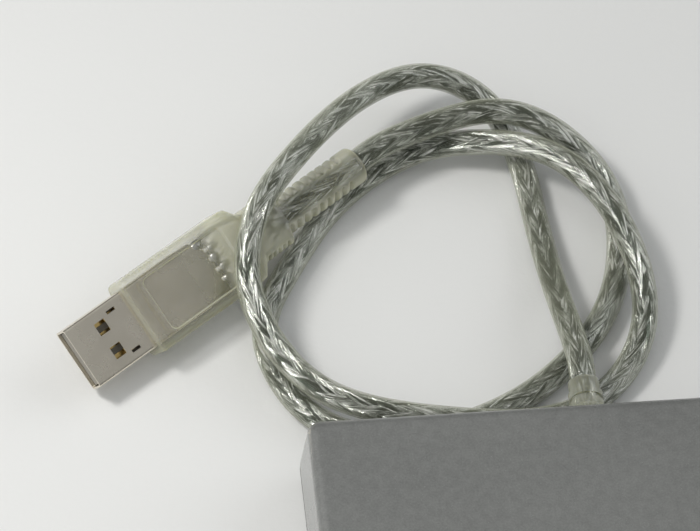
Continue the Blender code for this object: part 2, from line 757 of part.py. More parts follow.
# Eject button: a block with a rounded face and three finger grooves
BUTTON_Y0 = BEZEL_Y0 - BUTTON_PROUD
BUTTON_Y1 = SLIDER_BAR_Y0 - FIT
button_body = box(BUTTON_X0, BUTTON_X1, BUTTON_Y0, BUTTON_Y1, BUTTON_Z - BUTTON_H / 2, BUTTON_Z + BUTTON_H / 2)
rounded(button_body, BUTTON_ROUND, 2, lambda e: all(v.co.y < BUTTON_Y0 + WELD for v in e.verts))
eject_button = node("eject_button", button_body, "case")
cut(
    eject_button,
    [
        box(
            BUTTON_X0 - OVERRUN,
            BUTTON_X1 + OVERRUN,
            BUTTON_Y0 - OVERRUN,
            BUTTON_Y0 + BUTTON_GRIP_D,
            BUTTON_Z + step * BUTTON_GRIP_PITCH / 2 - BUTTON_GRIP_W / 4,
            BUTTON_Z + step * BUTTON_GRIP_PITCH / 2 + BUTTON_GRIP_W / 4,
        )
        for step in (-1, 0, 1)
    ],
)

lens_y0 = BEZEL_Y0 - LENS_PROUD
lens_body = box(
    LENS_X - LENS_W / 2, LENS_X + LENS_W / 2, lens_y0, lens_y0 + LENS_L, LENS_Z - LENS_H / 2, LENS_Z + LENS_H / 2
)
rounded(lens_body, LENS_PROUD / 2, 2, lambda e: all(v.co.y < lens_y0 + WELD for v in e.verts))
node("activity_lens", lens_body, "lens_green")

# Rubber feet and case screws
foot_profile = [(0, 0), (FOOT_R - FOOT_ROUND, 0), (FOOT_R, FOOT_ROUND), (FOOT_R, FOOT_T), (0, FOOT_T)]
FEET = [
    ("front_left", -FOOT_X, FOOT_Y_FRONT),
    ("front_right", FOOT_X, FOOT_Y_FRONT),
    ("rear_left", -FOOT_X, FOOT_Y_REAR),
    ("rear_right", FOOT_X, FOOT_Y_REAR),
]
for name, x, y in FEET:
    node(f"foot_{name}", turned(foot_profile, 24), "rubber", place=Matrix.Translation((x, y, 0)))


def screw(name, head_r, head_t, shank_r, shank_l, drive_r, drive_d, place):
    profile = [(0, 0), (head_r, 0), (head_r, head_t), (shank_r, head_t), (shank_r, head_t + shank_l), (0, head_t + shank_l)]
    obj = node(name, turned(profile, 16), "steel", place=place)
    arm = drive_r / 3
    cross = [
        (arm, arm), (arm, drive_r), (-arm, drive_r), (-arm, arm), (-drive_r, arm), (-drive_r, -arm),
        (-arm, -arm), (-arm, -drive_r), (arm, -drive_r), (arm, -arm), (drive_r, -arm), (drive_r, arm),
    ]
    cut(obj, [prism(cross, "z", -OVERRUN, drive_d)], place)
    return obj


for name, side in (("left", -1), ("right", 1)):
    screw(
        f"case_screw_{name}", SCREW_HEAD_R, SCREW_HEAD_T, SCREW_R, SCREW_L, SCREW_DRIVE_R, SCREW_DRIVE_D,
        Matrix.Translation((side * SCREW_X, SCREW_Y, HEAD_Z0)),
    )

# Chassis: one sheet with two upright walls, brackets and spring tabs
BASE_Z0 = FLOOR_Z + CHASSIS_LIFT
BASE_Z1 = BASE_Z0 + SHEET
DECK_Z = BASE_Z1 + FIT
tray = [
    (-WALL_X1, BASE_Z0), (WALL_X1, BASE_Z0), (WALL_X1, CHASSIS_WALL_TOP), (WALL_X0, CHASSIS_WALL_TOP),
    (WALL_X0, BASE_Z1), (-WALL_X0, BASE_Z1), (-WALL_X0, CHASSIS_WALL_TOP), (-WALL_X1, CHASSIS_WALL_TOP),
]
chassis = node("chassis", prism(tray, "y", CHASSIS_Y0, CHASSIS_Y1), "zinc_sheet")
SPRING_Y0 = SLIDER_BAR_Y0 + SLIDER_BAR_D + FIT
SPRING_Y1 = SPRING_Y0 + SPRING_L
TAB_Y0 = SPRING_Y1 + FIT
join(
    chassis,
    [
        box(
            side * SPRING_X - SPRING_TAB_W / 2, side * SPRING_X + SPRING_TAB_W / 2, TAB_Y0, TAB_Y0 + SPRING_TAB_T,
            BASE_Z1 - SEAM_OVERLAP, SPRING_Z + SPRING_R,
        )
        for side in (-1, 1)
    ]
    + [
        box(x - BRACKET_HALF, x + BRACKET_HALF, y, y + BRACKET_T, BASE_Z1 - SEAM_OVERLAP, BRACKET_TOP)
        for x, y in (
            (ROD_X, LEAD_Y0),
            (SCREW_AXIS_X, LEAD_Y0),
            (ROD_X, CHASSIS_Y1 - BRACKET_T),
        )
    ]
    + [
        box(
            SCREW_AXIS_X - STEPPER_SEAT_W / 2, SCREW_AXIS_X + STEPPER_SEAT_W / 2, CHASSIS_Y1 - SEAM_OVERLAP, STEPPER_SEAT_Y1,
            BASE_Z0, BASE_Z1,
        )
    ],
)
PIN_SLOT_HALF = GUIDE_PIN_R + GUIDE_PLAY
cut(
    chassis,
    [
        box(-CASE_W, CASE_W, y - PIN_SLOT_HALF, y + PIN_SLOT_HALF, GUIDE_PIN_Z - HOLDER_DROP - PIN_SLOT_HALF, CHASSIS_WALL_TOP + OVERRUN)
        for y in (GUIDE_PIN_Y_FRONT, GUIDE_PIN_Y_REAR)
    ]
    + [
        prism(circle(x, y, CHASSIS_SCREW_R + FIT, 12), "z", BASE_Z0 - OVERRUN, BASE_Z1 + OVERRUN / 2)
        for x, y in (
            (-CHASSIS_SCREW_X, CHASSIS_SCREW_Y),
            (CHASSIS_SCREW_X, CHASSIS_SCREW_Y),
            (CHASSIS_SCREW_REAR_X, CHASSIS_SCREW_REAR_Y),
        )
    ]
    + [
        prism(circle(ROD_X, DRIVE_AXIS_Z, ROD_R + FIT / 2, 16), "y", LEAD_Y0 - OVERRUN, LEAD_Y0 + BRACKET_T + OVERRUN),
        prism(circle(SCREW_AXIS_X, DRIVE_AXIS_Z, LEAD_R + RUNNING, 16), "y", LEAD_Y0 - OVERRUN, LEAD_Y0 + BRACKET_T + OVERRUN),
        prism(circle(ROD_X, DRIVE_AXIS_Z, ROD_R + FIT / 2, 16), "y", CHASSIS_Y1 - BRACKET_T - OVERRUN, CHASSIS_Y1 + OVERRUN),
    ],
)
for name, x, y in (
    ("front_left", -CHASSIS_SCREW_X, CHASSIS_SCREW_Y),
    ("front_right", CHASSIS_SCREW_X, CHASSIS_SCREW_Y),
    ("rear", CHASSIS_SCREW_REAR_X, CHASSIS_SCREW_REAR_Y),
):
    shank = DECK_Z - FLOOR_Z + CHASSIS_SCREW_DEPTH - FIT
    screw(
        f"chassis_screw_{name}", CHASSIS_SCREW_HEAD_R, SHEET, CHASSIS_SCREW_R, shank, SCREW_DRIVE_R, SHEET / 2,
        Matrix.Translation((x, y, DECK_Z + SHEET)) @ Matrix.Rotation(math.pi, 4, "X"),
    )

# Disk holder: a flat cage open to the front, with lips under the disk's edges and four guide pins
HOLDER_TOP = HOLDER_Z + HOLDER_H
HOLDER_LID = HOLDER_TOP + HOLDER_SHEET
HOLDER_BASE = HOLDER_Z - HOLDER_SHEET
cage = [
    (-HOLDER_OUT, HOLDER_BASE), (-HOLDER_IN + HOLDER_LIP, HOLDER_BASE), (-HOLDER_IN + HOLDER_LIP, HOLDER_Z), (-HOLDER_IN, HOLDER_Z),
    (-HOLDER_IN, HOLDER_TOP), (HOLDER_IN, HOLDER_TOP), (HOLDER_IN, HOLDER_Z), (HOLDER_IN - HOLDER_LIP, HOLDER_Z),
    (HOLDER_IN - HOLDER_LIP, HOLDER_BASE), (HOLDER_OUT, HOLDER_BASE), (HOLDER_OUT, HOLDER_LID), (-HOLDER_OUT, HOLDER_LID),
]
disk_holder = node("disk_holder", prism(cage, "y", HOLDER_Y0, HOLDER_Y1), "zinc_sheet")
LEVER_Z0 = HOLDER_LID + FIT
LEVER_Z1 = LEVER_Z0 + LEVER_T
join(
    disk_holder,
    [
        prism(
            circle(y, GUIDE_PIN_Z, GUIDE_PIN_R, 12), "x",
            min(side * (HOLDER_OUT - SEAM_OVERLAP), side * WALL_X1), max(side * (HOLDER_OUT - SEAM_OVERLAP), side * WALL_X1),
        )
        for side in (-1, 1)
        for y in (GUIDE_PIN_Y_FRONT, GUIDE_PIN_Y_REAR)
    ]
    + [prism(circle(LEVER_X, LEVER_Y, LEVER_STUD_R, 16), "z", HOLDER_LID - SEAM_OVERLAP, LEVER_Z1)],
)


def lever_tip(degrees, length=LEVER_L):
    angle = math.radians(degrees)
    return LEVER_X + length * math.cos(angle), LEVER_Y + length * math.sin(angle)


TRACK_EXTRA_DEG = 3.0
TRACK_STEPS = 10
track = [
    lever_tip(LEVER_REST_DEG + TRACK_EXTRA_DEG - (LEVER_SWING_DEG + 2 * TRACK_EXTRA_DEG) * i / TRACK_STEPS, LEVER_L + out * (LEVER_PIN_R + FIT))
    for out, order in ((-1, range(TRACK_STEPS + 1)), (1, range(TRACK_STEPS, -1, -1)))
    for i in order
]
cut(
    disk_holder,
    [
        box(-HOLDER_SLOT_W / 2, HOLDER_SLOT_W / 2, HOLDER_SLOT_Y, HOLDER_Y1 + OVERRUN, HOLDER_TOP - SEAM_OVERLAP, HOLDER_LID + SEAM_OVERLAP),
        prism(track, "z", HOLDER_TOP - SEAM_OVERLAP, HOLDER_LID + SEAM_OVERLAP),
    ],
)

# Shutter lever: a thin arm on the holder's stud, with a pin that reaches down into the disk's path
tip_x, tip_y = lever_tip(LEVER_REST_DEG)
shutter_lever = node(
    "shutter_lever", prism(capsule(LEVER_X, LEVER_Y, tip_x, tip_y, LEVER_W / 2), "z", LEVER_Z0, LEVER_Z1), "steel"
)
join(
    shutter_lever,
    [
        prism(circle(LEVER_X, LEVER_Y, LEVER_HUB_R, 20), "z", LEVER_Z0, LEVER_Z1),
        prism(circle(tip_x, tip_y, LEVER_PIN_R, 12), "z", LEVER_Z0 - LEVER_PIN_DEPTH, LEVER_Z0 + LEVER_T / 2),
    ],
)
cut(shutter_lever, [prism(circle(LEVER_X, LEVER_Y, LEVER_STUD_R + FIT, 16), "z", LEVER_Z0 - OVERRUN, LEVER_Z1 + OVERRUN)])

# Eject slider: a cross bar behind the button and two rails whose ramps carry the holder's pins
eject_slider = node(
    "eject_slider",
    box(-RAIL_X1, RAIL_X1, SLIDER_BAR_Y0, SLIDER_BAR_Y0 + SLIDER_BAR_D, SLIDER_BAR_Z0, SLIDER_BAR_Z1),
    "zinc_sheet",
)
join(
    eject_slider,
    [
        box(
            min(side * RAIL_X0, side * RAIL_X1), max(side * RAIL_X0, side * RAIL_X1), SLIDER_BAR_Y0, SLIDER_Y1, SLIDER_Z0, SLIDER_Z1,
        )
        for side in (-1, 1)
    ],
)
cut(
    eject_slider,
    [
        prism(
            capsule(y, GUIDE_PIN_Z, y + SLIDER_TRAVEL, GUIDE_PIN_Z - HOLDER_DROP, PIN_SLOT_HALF), "x",
            min(side * (RAIL_X0 - OVERRUN / 2), side * (RAIL_X1 + OVERRUN / 2)), max(side * (RAIL_X0 - OVERRUN / 2), side * (RAIL_X1 + OVERRUN / 2)),
        )
        for side in (-1, 1)
        for y in (GUIDE_PIN_Y_FRONT, GUIDE_PIN_Y_REAR)
    ],
)


def tube(name, points, radius, mat, resolution):
    """A round wire or cord along points, as a bevelled curve with filled caps."""
    curve = bpy.data.curves.new(name, "CURVE")
    curve.dimensions = "3D"
    curve.bevel_depth = radius
    curve.bevel_resolution = resolution
    curve.use_fill_caps = True
    curve.twist_mode = "MINIMUM"
    spline = curve.splines.new("POLY")
    spline.points.add(len(points) - 1)
    for target, p in zip(spline.points, points):
        target.co = (*p, 1)
    curve.materials.append(material(mat))
    obj = bpy.data.objects.new(name, curve)
    bpy.context.scene.collection.objects.link(obj)
    return obj


# Two eject springs push the cross bar forward from tabs of the chassis
COIL_POINTS = 9
for name, side in (("left", -1), ("right", 1)):
    coil = []
    for i in range(SPRING_TURNS * COIL_POINTS + 1):
        share = i / (SPRING_TURNS * COIL_POINTS)
        angle = 2 * math.pi * i / COIL_POINTS
        coil.append(
            (
                side * SPRING_X + (SPRING_R - SPRING_WIRE_R) * math.cos(angle),
                SPRING_Y0 + SPRING_WIRE_R + (SPRING_L - 2 * SPRING_WIRE_R) * share,
                SPRING_Z + (SPRING_R - SPRING_WIRE_R) * math.sin(angle),
            )
        )
    tube(f"eject_spring_{name}", coil, SPRING_WIRE_R, "steel", 0)

# Spindle: a flat rotor cup over a toothed stator, with the hub that takes the disk
SPINDLE = Matrix.Translation((0, SPINDLE_Y, 0))
rotor_profile = [
    (0, SHAFT_Z0), (SHAFT_R, SHAFT_Z0), (SHAFT_R, ROTOR_TOP_Z - ROTOR_PLATE_T), (ROTOR_R - ROTOR_RIM_T, ROTOR_TOP_Z - ROTOR_PLATE_T),
    (ROTOR_R - ROTOR_RIM_T, ROTOR_Z0), (ROTOR_R, ROTOR_Z0), (ROTOR_R, ROTOR_TOP_Z), (HUB_R, ROTOR_TOP_Z), (HUB_R, HUB_TOP_Z),
    (CENTRE_PIN_R, HUB_TOP_Z), (CENTRE_PIN_R, CENTRE_PIN_Z), (0, CENTRE_PIN_Z),
]
spindle_rotor = node("spindle_rotor", turned(rotor_profile, 40), "steel", place=SPINDLE)
join(
    spindle_rotor,
    [prism(circle(DRIVE_PEG_AT, 0, DRIVE_PEG_R, 12), "z", HUB_TOP_Z - SEAM_OVERLAP, HUB_TOP_Z + DRIVE_PEG_H)],
    place=SPINDLE,
)
ROTOR_HOLES = 6
cut(
    spindle_rotor,
    [
        prism(
            circle(ROTOR_HOLE_AT * math.cos(math.pi * 2 * i / ROTOR_HOLES), ROTOR_HOLE_AT * math.sin(math.pi * 2 * i / ROTOR_HOLES), ROTOR_HOLE_R, 10),
            "z", ROTOR_TOP_Z - ROTOR_PLATE_T - OVERRUN / 2, ROTOR_TOP_Z + OVERRUN / 2,
        )
        for i in range(ROTOR_HOLES)
    ],
    place=SPINDLE,
)


def star(arms, ring_r, outer_r, arm_w, shoe_t):
    """The outline of a toothed stator: a ring with arms that end in curved shoes."""
    outline = []
    shoe_half = math.pi / arms * SHOE_SHARE
    for k in range(arms):
        middle = 2 * math.pi * k / arms
        root = math.asin(arm_w / 2 / ring_r)
        neck = math.asin(arm_w / 2 / (outer_r - shoe_t))
        steps = [
            (ring_r, middle - root), (outer_r - shoe_t, middle - neck), (outer_r - shoe_t, middle - shoe_half),
            (outer_r, middle - shoe_half), (outer_r, middle), (outer_r, middle + shoe_half),
            (outer_r - shoe_t, middle + shoe_half), (outer_r - shoe_t, middle + neck), (ring_r, middle + root),
        ]
        outline += [(r * math.cos(a), r * math.sin(a)) for r, a in steps]
    return outline


SHOE_SHARE = 0.72
STATOR_Z0 = DECK_Z + BOARD_T + FIT
stator = node(
    "stator",
    prism(star(STATOR_ARMS, STATOR_RING_R, STATOR_R, STATOR_ARM_W, STATOR_SHOE_T), "z", STATOR_Z0, STATOR_Z0 + STATOR_T),
    "copper",
    place=SPINDLE,
)
cut(stator, [prism(circle(0, 0, STATOR_BORE_R, 20), "z", STATOR_Z0 - OVERRUN, STATOR_Z0 + OVERRUN)], place=SPINDLE)
spindle_bearing = node(
    "spindle_bearing", prism(circle(0, 0, BEARING_R, 24), "z", DECK_Z, STATOR_Z0 + STATOR_T), "brass", place=SPINDLE
)
cut(
    spindle_bearing,
    [prism(circle(0, 0, BEARING_BORE_R, 20), "z", DECK_Z - OVERRUN, DECK_Z + 2 * OVERRUN)],
    place=SPINDLE,
)
motor_board = node(
    "motor_board",
    box(-MOTOR_BOARD_W / 2, MOTOR_BOARD_W / 2, MOTOR_BOARD_Y0, MOTOR_BOARD_Y1, DECK_Z, DECK_Z + BOARD_T),
    "board_green",
)
cut(motor_board, [prism(circle(0, SPINDLE_Y, BOARD_HOLE_R, 20), "z", DECK_Z - OVERRUN, DECK_Z + OVERRUN)])

# Head carriage: a block on the guide rod and the lead screw, with a lower arm that reaches under the disk
head_carriage = node("head_carriage", box(BLOCK_X0, BLOCK_X1, BLOCK_Y0, BLOCK_Y1, BLOCK_Z0, BLOCK_Z1), "white_plastic")
join(
    head_carriage,
    [
        box(-LOWER_ARM_W / 2, LOWER_ARM_W / 2, HEAD_Y - LOWER_ARM_TIP, BLOCK_Y0 + SEAM_OVERLAP, LOWER_ARM_Z0, LOWER_ARM_Z0 + LOWER_ARM_T),
        box(BLOCK_X1 - SEAM_OVERLAP, NUT_X1, BLOCK_Y0, BLOCK_Y0 + NUT_L, BLOCK_Z0, BLOCK_Z1),
    ]
    + [
        box(
            min(side * EAR_X, side * (EAR_X + EAR_T)), max(side * EAR_X, side * (EAR_X + EAR_T)),
            HINGE_Y - EAR_HALF_Y, HINGE_Y + EAR_HALF_Y, BLOCK_Z1 - SEAM_OVERLAP, EAR_TOP_Z,
        )
        for side in (-1, 1)
    ],
)
cut(
    head_carriage,
    [
        prism(circle(ROD_X, DRIVE_AXIS_Z, ROD_R + RUNNING, 20), "y", BLOCK_Y0 - OVERRUN, BLOCK_Y1 + OVERRUN),
        prism(circle(SCREW_AXIS_X, DRIVE_AXIS_Z, LEAD_R + RUNNING, 20), "y", BLOCK_Y0 - OVERRUN, BLOCK_Y1 + OVERRUN),
        prism(
            circle(HINGE_Y, HINGE_Z, HINGE_PIN_R + FIT / 2, 12), "x", -EAR_X - EAR_T - OVERRUN, EAR_X + EAR_T + OVERRUN
        ),
    ],
)
node(
    "lower_head",
    rounded(
        box(
            -HEAD_HALF_W, HEAD_HALF_W, HEAD_Y - HEAD_HALF_L, HEAD_Y + HEAD_HALF_L, LOWER_ARM_Z0 + LOWER_ARM_T + FIT, HEAD_TOP_Z
        ),
        FIT, 1,
    ),
    "white_plastic",
)
PIN_X = EAR_X + EAR_T
node("arm_hinge_pin", prism(circle(HINGE_Y, HINGE_Z, HINGE_PIN_R, 12), "x", -PIN_X, PIN_X), "steel")

# Upper arm: a bent plate from its hinge barrel to the upper head, raised while there is no disk
ARM_HEEL_SHARE = 0.8
ARM_LOW_Z = ARM_TOP_Z - ARM_T
arm_tip_y = HEAD_Y - ARM_TIP
plate = [
    (HINGE_Y, HINGE_Z + ARM_BARREL_R / 2), (HINGE_Y - ARM_BARREL_R / 2, HINGE_Z + ARM_BARREL_R * ARM_HEEL_SHARE),
    (ARM_RISE_Y, ARM_TOP_Z), (arm_tip_y, ARM_TOP_Z), (arm_tip_y, ARM_LOW_Z), (ARM_RISE_Y, ARM_LOW_Z),
    (HINGE_Y - ARM_BARREL_R / 2, HINGE_Z),
]
upper_head_arm = node(
    "upper_head_arm", prism(circle(HINGE_Y, HINGE_Z, ARM_BARREL_R, 16), "x", -ARM_W / 2, ARM_W / 2), "white_plastic"
)
join(upper_head_arm, [prism(plate, "x", -ARM_W / 2, ARM_W / 2)])
cut(
    upper_head_arm,
    [prism(circle(HINGE_Y, HINGE_Z, HINGE_PIN_R + RUNNING, 12), "x", -ARM_W / 2 - OVERRUN, ARM_W / 2 + OVERRUN)],
)
node(
    "upper_head",
    rounded(
        box(
            -HEAD_HALF_W, HEAD_HALF_W, HEAD_Y - HEAD_HALF_L, HEAD_Y + HEAD_HALF_L,
            ARM_LOW_Z - FIT - UPPER_HEAD_T, ARM_LOW_Z - FIT,
        ),
        UPPER_HEAD_T / 4, 1,
    ),
    "white_plastic",
)

# Guide rod, lead screw and stepper motor lie along Y behind the disk
node("guide_rod", prism(circle(ROD_X, DRIVE_AXIS_Z, ROD_R, 20), "y", LEAD_Y0, CHASSIS_Y1), "steel")
node("lead_screw", prism(circle(SCREW_AXIS_X, DRIVE_AXIS_Z, LEAD_R, 20), "y", LEAD_Y0, LEAD_Y1), "steel")
stepper_profile = [
    (0, 0), (STEPPER_BOSS_R, 0), (STEPPER_BOSS_R, STEPPER_BOSS_L), (STEPPER_R, STEPPER_BOSS_L),
    (STEPPER_R, STEPPER_BOSS_L + STEPPER_L), (0, STEPPER_BOSS_L + STEPPER_L),
]
AT_STEPPER = Matrix.Translation((SCREW_AXIS_X, STEPPER_Y0 - STEPPER_BOSS_L, DRIVE_AXIS_Z)) @ ALONG_Y
stepper_motor = node("stepper_motor", turned(stepper_profile, 24), "zinc_sheet", place=AT_STEPPER)
cut(
    stepper_motor,
    [prism(circle(0, 0, STEPPER_BORE_R, 16), "z", -OVERRUN, STEPPER_BORE_L)],
    place=AT_STEPPER,
)

# Logic board, chips and the header that takes the inner lead
logic_board = node("logic_board", box(LOGIC_X0, LOGIC_X1, LOGIC_Y0, LOGIC_Y1, DECK_Z, DECK_Z + BOARD_T), "board_green")
CHIP_Z = DECK_Z + BOARD_T + FIT / 3


def on_board(name, x, y, w, d, h, mat, round_by=0.0):
    body = box(x - w / 2, x + w / 2, y - d / 2, y + d / 2, CHIP_Z, CHIP_Z + h)
    if round_by:
        rounded(body, round_by, 1, lambda e: any(v.co.z > CHIP_Z + WELD for v in e.verts))
    return node(name, body, mat)


on_board("controller_chip", CONTROLLER_X, CONTROLLER_Y, CONTROLLER_W, CONTROLLER_W, CHIP_T, "chip_black", CHIP_T / 6)
on_board("driver_chip", DRIVER_X, DRIVER_Y, DRIVER_W, DRIVER_L, CHIP_T, "chip_black", CHIP_T / 6)
on_board("clock_crystal", CRYSTAL_X, CRYSTAL_Y, CRYSTAL_L, CRYSTAL_W, CRYSTAL_H, "nickel", CRYSTAL_H / 4)
cord_header = on_board("cord_header", HEADER_X, HEADER_Y, HEADER_W, HEADER_D, HEADER_H, "white_plastic")
cut(
    cord_header,
    [
        box(
            HEADER_X - HEADER_W / 2 + HEADER_WALL, HEADER_X + HEADER_W / 2 - HEADER_WALL,
            HEADER_Y - HEADER_D / 2 + HEADER_WALL, HEADER_Y + HEADER_D / 2 - HEADER_WALL,
            CHIP_Z + HEADER_H / 3, CHIP_Z + HEADER_H + OVERRUN,
        )
    ],
)

# Activity lamp on its small board behind the lens, and the switch that a disk presses
node(
    "lamp_board",
    box(LENS_X - LAMP_BOARD_W / 2, LENS_X + LAMP_BOARD_W / 2, LAMP_BOARD_Y0, LAMP_BOARD_Y1, DECK_Z, DECK_Z + LAMP_BOARD_T),
    "board_green",
)
LAMP_Z = DECK_Z + LAMP_BOARD_T + FIT / 3
node(
    "activity_lamp",
    box(LENS_X - LAMP_W / 2, LENS_X + LAMP_W / 2, LAMP_BOARD_Y0 + FIT, LAMP_BOARD_Y0 + FIT + LAMP_D, LAMP_Z, LAMP_Z + LAMP_H),
    "lens_green",
)
disk_switch = node(
    "disk_switch",
    box(SWITCH_X - SWITCH_W / 2, SWITCH_X + SWITCH_W / 2, SWITCH_Y - SWITCH_L / 2, SWITCH_Y + SWITCH_L / 2, DECK_Z, DECK_Z + SWITCH_H),
    "chip_black",
)
join(
    disk_switch,
    [prism(circle(SWITCH_X, SWITCH_Y, SWITCH_TIP_R, 12), "z", DECK_Z + SWITCH_H - SEAM_OVERLAP, DECK_Z + SWITCH_H + SWITCH_TIP_H)],
)

# Cable gland: a flange each side of the rear wall, and a ribbed nose that the cable leaves
WALL_OUT_Y = CASE_Y_REAR
WALL_IN_Y = CASE_Y_REAR - WALL - TOP_DRAFT
gland_profile = [(0, WALL_IN_Y - FIT - GLAND_INNER_T), (GLAND_FLANGE_R, WALL_IN_Y - FIT - GLAND_INNER_T), (GLAND_FLANGE_R, WALL_IN_Y - FIT)]
gland_profile += [(GLAND_NECK_R, WALL_IN_Y - FIT), (GLAND_NECK_R, WALL_OUT_Y + FIT / 2), (GLAND_FLANGE_R, WALL_OUT_Y + FIT / 2)]
flange_end = WALL_OUT_Y + FIT / 2 + GLAND_FLANGE_T
gland_profile += [(GLAND_FLANGE_R, flange_end - GLAND_RIB_D), (GLAND_FLANGE_R - GLAND_RIB_D, flange_end)]
rib_count = 2
rib_pitch = (GLAND_END_Y - flange_end) / (rib_count + 1)
for k in range(rib_count):
    y = flange_end + rib_pitch * (k + 1)
    gland_profile += [
        (GLAND_RING_R, y - rib_pitch + GLAND_RIB_T / 2), (GLAND_RING_R, y - GLAND_RIB_T / 2),
        (GLAND_RING_R - GLAND_RIB_D, y - GLAND_RIB_T / 2), (GLAND_RING_R - GLAND_RIB_D, y + GLAND_RIB_T / 2),
    ]
gland_profile += [(GLAND_TIP_R, GLAND_END_Y - rib_pitch + GLAND_RIB_T), (GLAND_TIP_R, GLAND_END_Y), (0, GLAND_END_Y)]
node(
    "cable_gland", turned(gland_profile, 28), "clear_pvc", place=Matrix.Translation((0, 0, EXIT_Z)) @ ALONG_Y,
)
LEAD_START = WALL_IN_Y - 3 * FIT - GLAND_INNER_T
LEAD_TURN = LEAD_START - 2 * LEAD_WIRE_R
HEADER_REAR = HEADER_Y + HEADER_D / 2 + FIT


def smooth_through(points, count):
    """Evenly spaced points on a natural cubic spline through the given points."""
    knots = np.array(points, float)
    steps = np.concatenate([[0.0], np.cumsum(np.sqrt(np.linalg.norm(np.diff(knots, axis=0), axis=1)))])
    h = np.diff(steps)
    size = len(knots)
    matrix = np.eye(size)
    right = np.zeros((size, 3))
    for i in range(1, size - 1):
        matrix[i, i - 1 : i + 2] = h[i - 1], 2 * (h[i - 1] + h[i]), h[i]
        right[i] = 6 * ((knots[i + 1] - knots[i]) / h[i] - (knots[i] - knots[i - 1]) / h[i - 1])
    bend = np.linalg.solve(matrix, right)
    fine = np.linspace(0.0, steps[-1], 40 * size)
    cell = np.clip(np.searchsorted(steps, fine, side="right") - 1, 0, size - 2)
    a = ((steps[cell + 1] - fine) / h[cell])[:, None]
    b = 1 - a
    path = a * knots[cell] + b * knots[cell + 1]
    path += ((a**3 - a) * bend[cell] + (b**3 - b) * bend[cell + 1]) * (h[cell] ** 2)[:, None] / 6
    run = np.concatenate([[0.0], np.cumsum(np.linalg.norm(np.diff(path, axis=0), axis=1))])
    marks = np.linspace(0.0, run[-1], count)
    return np.stack([np.interp(marks, run, path[:, k]) for k in range(3)], axis=1), run[-1]


inner_route = [
    (0.0, LEAD_START, EXIT_Z), (0.0, LEAD_START - LEAD_WIRE_R, EXIT_Z), (-LEAD_WIRE_R / 2, LEAD_START - 2 * LEAD_WIRE_R, EXIT_Z),
    (-2 * LEAD_WIRE_R, LEAD_TURN - LEAD_WIRE_R, EXIT_Z), (-5 * LEAD_WIRE_R, LEAD_TURN - LEAD_WIRE_R * 3 / 2, EXIT_Z),
    (HEADER_X / 2, LEAD_TURN - LEAD_WIRE_R * 3 / 2, EXIT_Z),
    (HEADER_X + 3 * LEAD_WIRE_R, LEAD_TURN - 2 * LEAD_WIRE_R, EXIT_Z - LEAD_WIRE_R / 2),
    (HEADER_X, (LEAD_TURN + HEADER_REAR) / 2, EXIT_Z - LEAD_WIRE_R), (HEADER_X, HEADER_REAR, CHIP_Z + HEADER_H / 2),
]
inner_points, _ = smooth_through(inner_route, 18)
tube("inner_lead", [tuple(p) for p in inner_points], LEAD_WIRE_R, "white_plastic", 1)

# The cable: one unbroken tube along its route, never lower than the table
cord_points, cord_length = smooth_through(CORD_ROUTE, CORD_POINTS)
cord_points[:, 2] = np.maximum(cord_points[:, 2], CORD_R + CORD_TABLE_GAP)
tube("usb_cord", [tuple(p) for p in cord_points], CORD_R, "cord_silver", 3)


def least_gap(points, radius):
    """The least gap of a tube to itself, between stretches that aren't neighbours."""
    dense = np.concatenate([points[:-1] + (points[1:] - points[:-1]) * s for s in (0.0, 0.25, 0.5, 0.75)])
    place = np.concatenate([np.arange(len(points) - 1) + s for s in (0.0, 0.25, 0.5, 0.75)])
    apart = np.linalg.norm(dense[:, None] - dense[None], axis=2)
    step = np.linalg.norm(points[1] - points[0])
    apart[np.abs(place[:, None] - place[None]) * step < 8 * radius] = np.inf
    return apart.min() - 2 * radius


print("cord length %.4f m, least gap to itself %.2f mm" % (cord_length, 1000 * least_gap(cord_points, CORD_R)))

# The plug's own frame: local Y runs from the strain relief's end to the shell's tip, local Z is the wide face's normal
end = Vector(PLUG_END)
ahead = (Vector(PLUG_TIP) - end).normalized()
plug_length = (Vector(PLUG_TIP) - end).length
right = ahead.cross(Vector((0, 0, 1))).normalized()
upward = right.cross(ahead)
roll = math.radians(PLUG_ROLL_DEG)
wide = right * math.cos(roll) + upward * math.sin(roll)
normal = wide.cross(ahead)
AT_PLUG = Matrix.Translation(end) @ Matrix((wide, ahead, normal)).transposed().to_4x4()
BLOCK_START = RELIEF_L + GRIP_L
BLOCK_END = plug_length - SHELL_OUT


def plug_ring(half_w, half_t, radius, y):
    radius = min(radius, half_w - WELD, half_t - WELD)
    return [(x, y, z) for x, z in corner_rect(half_w, half_t, radius, 4)]


# Overmould: ribbed relief, notched grips, then the block with a pocket for the metal shell
plug_rings = []
relief_pitch = RELIEF_L / RELIEF_RIBS
for k in range(RELIEF_RIBS):
    low = k * relief_pitch
    for share, groove in ((0.0, 0.0), (0.55, 0.0), (0.62, RELIEF_GROOVE), (0.93, RELIEF_GROOVE)):
        plug_rings.append(plug_ring(RELIEF_R - groove, RELIEF_R - groove, RELIEF_R, low + share * relief_pitch))
grip_pitch = GRIP_L / GRIP_RIBS
for k in range(GRIP_RIBS):
    low = RELIEF_L + k * grip_pitch
    for share, groove in ((0.0, 0.0), (0.55, 0.0), (0.65, GRIP_GROOVE), (0.92, GRIP_GROOVE)):
        plug_rings.append(plug_ring(GRIP_HALF_W - groove, GRIP_HALF_T - groove / 2, BLOCK_ROUND * 2 - groove, low + share * grip_pitch))
for s in ARC_SHARES:
    drawn = BLOCK_END_ROUND * (1 - math.sin(math.pi / 2 * s))
    plug_rings.append(
        plug_ring(BLOCK_HALF_W - drawn, BLOCK_HALF_T - drawn / 4, BLOCK_ROUND, BLOCK_START + BLOCK_END_ROUND * (1 - math.cos(math.pi / 2 * s)))
    )
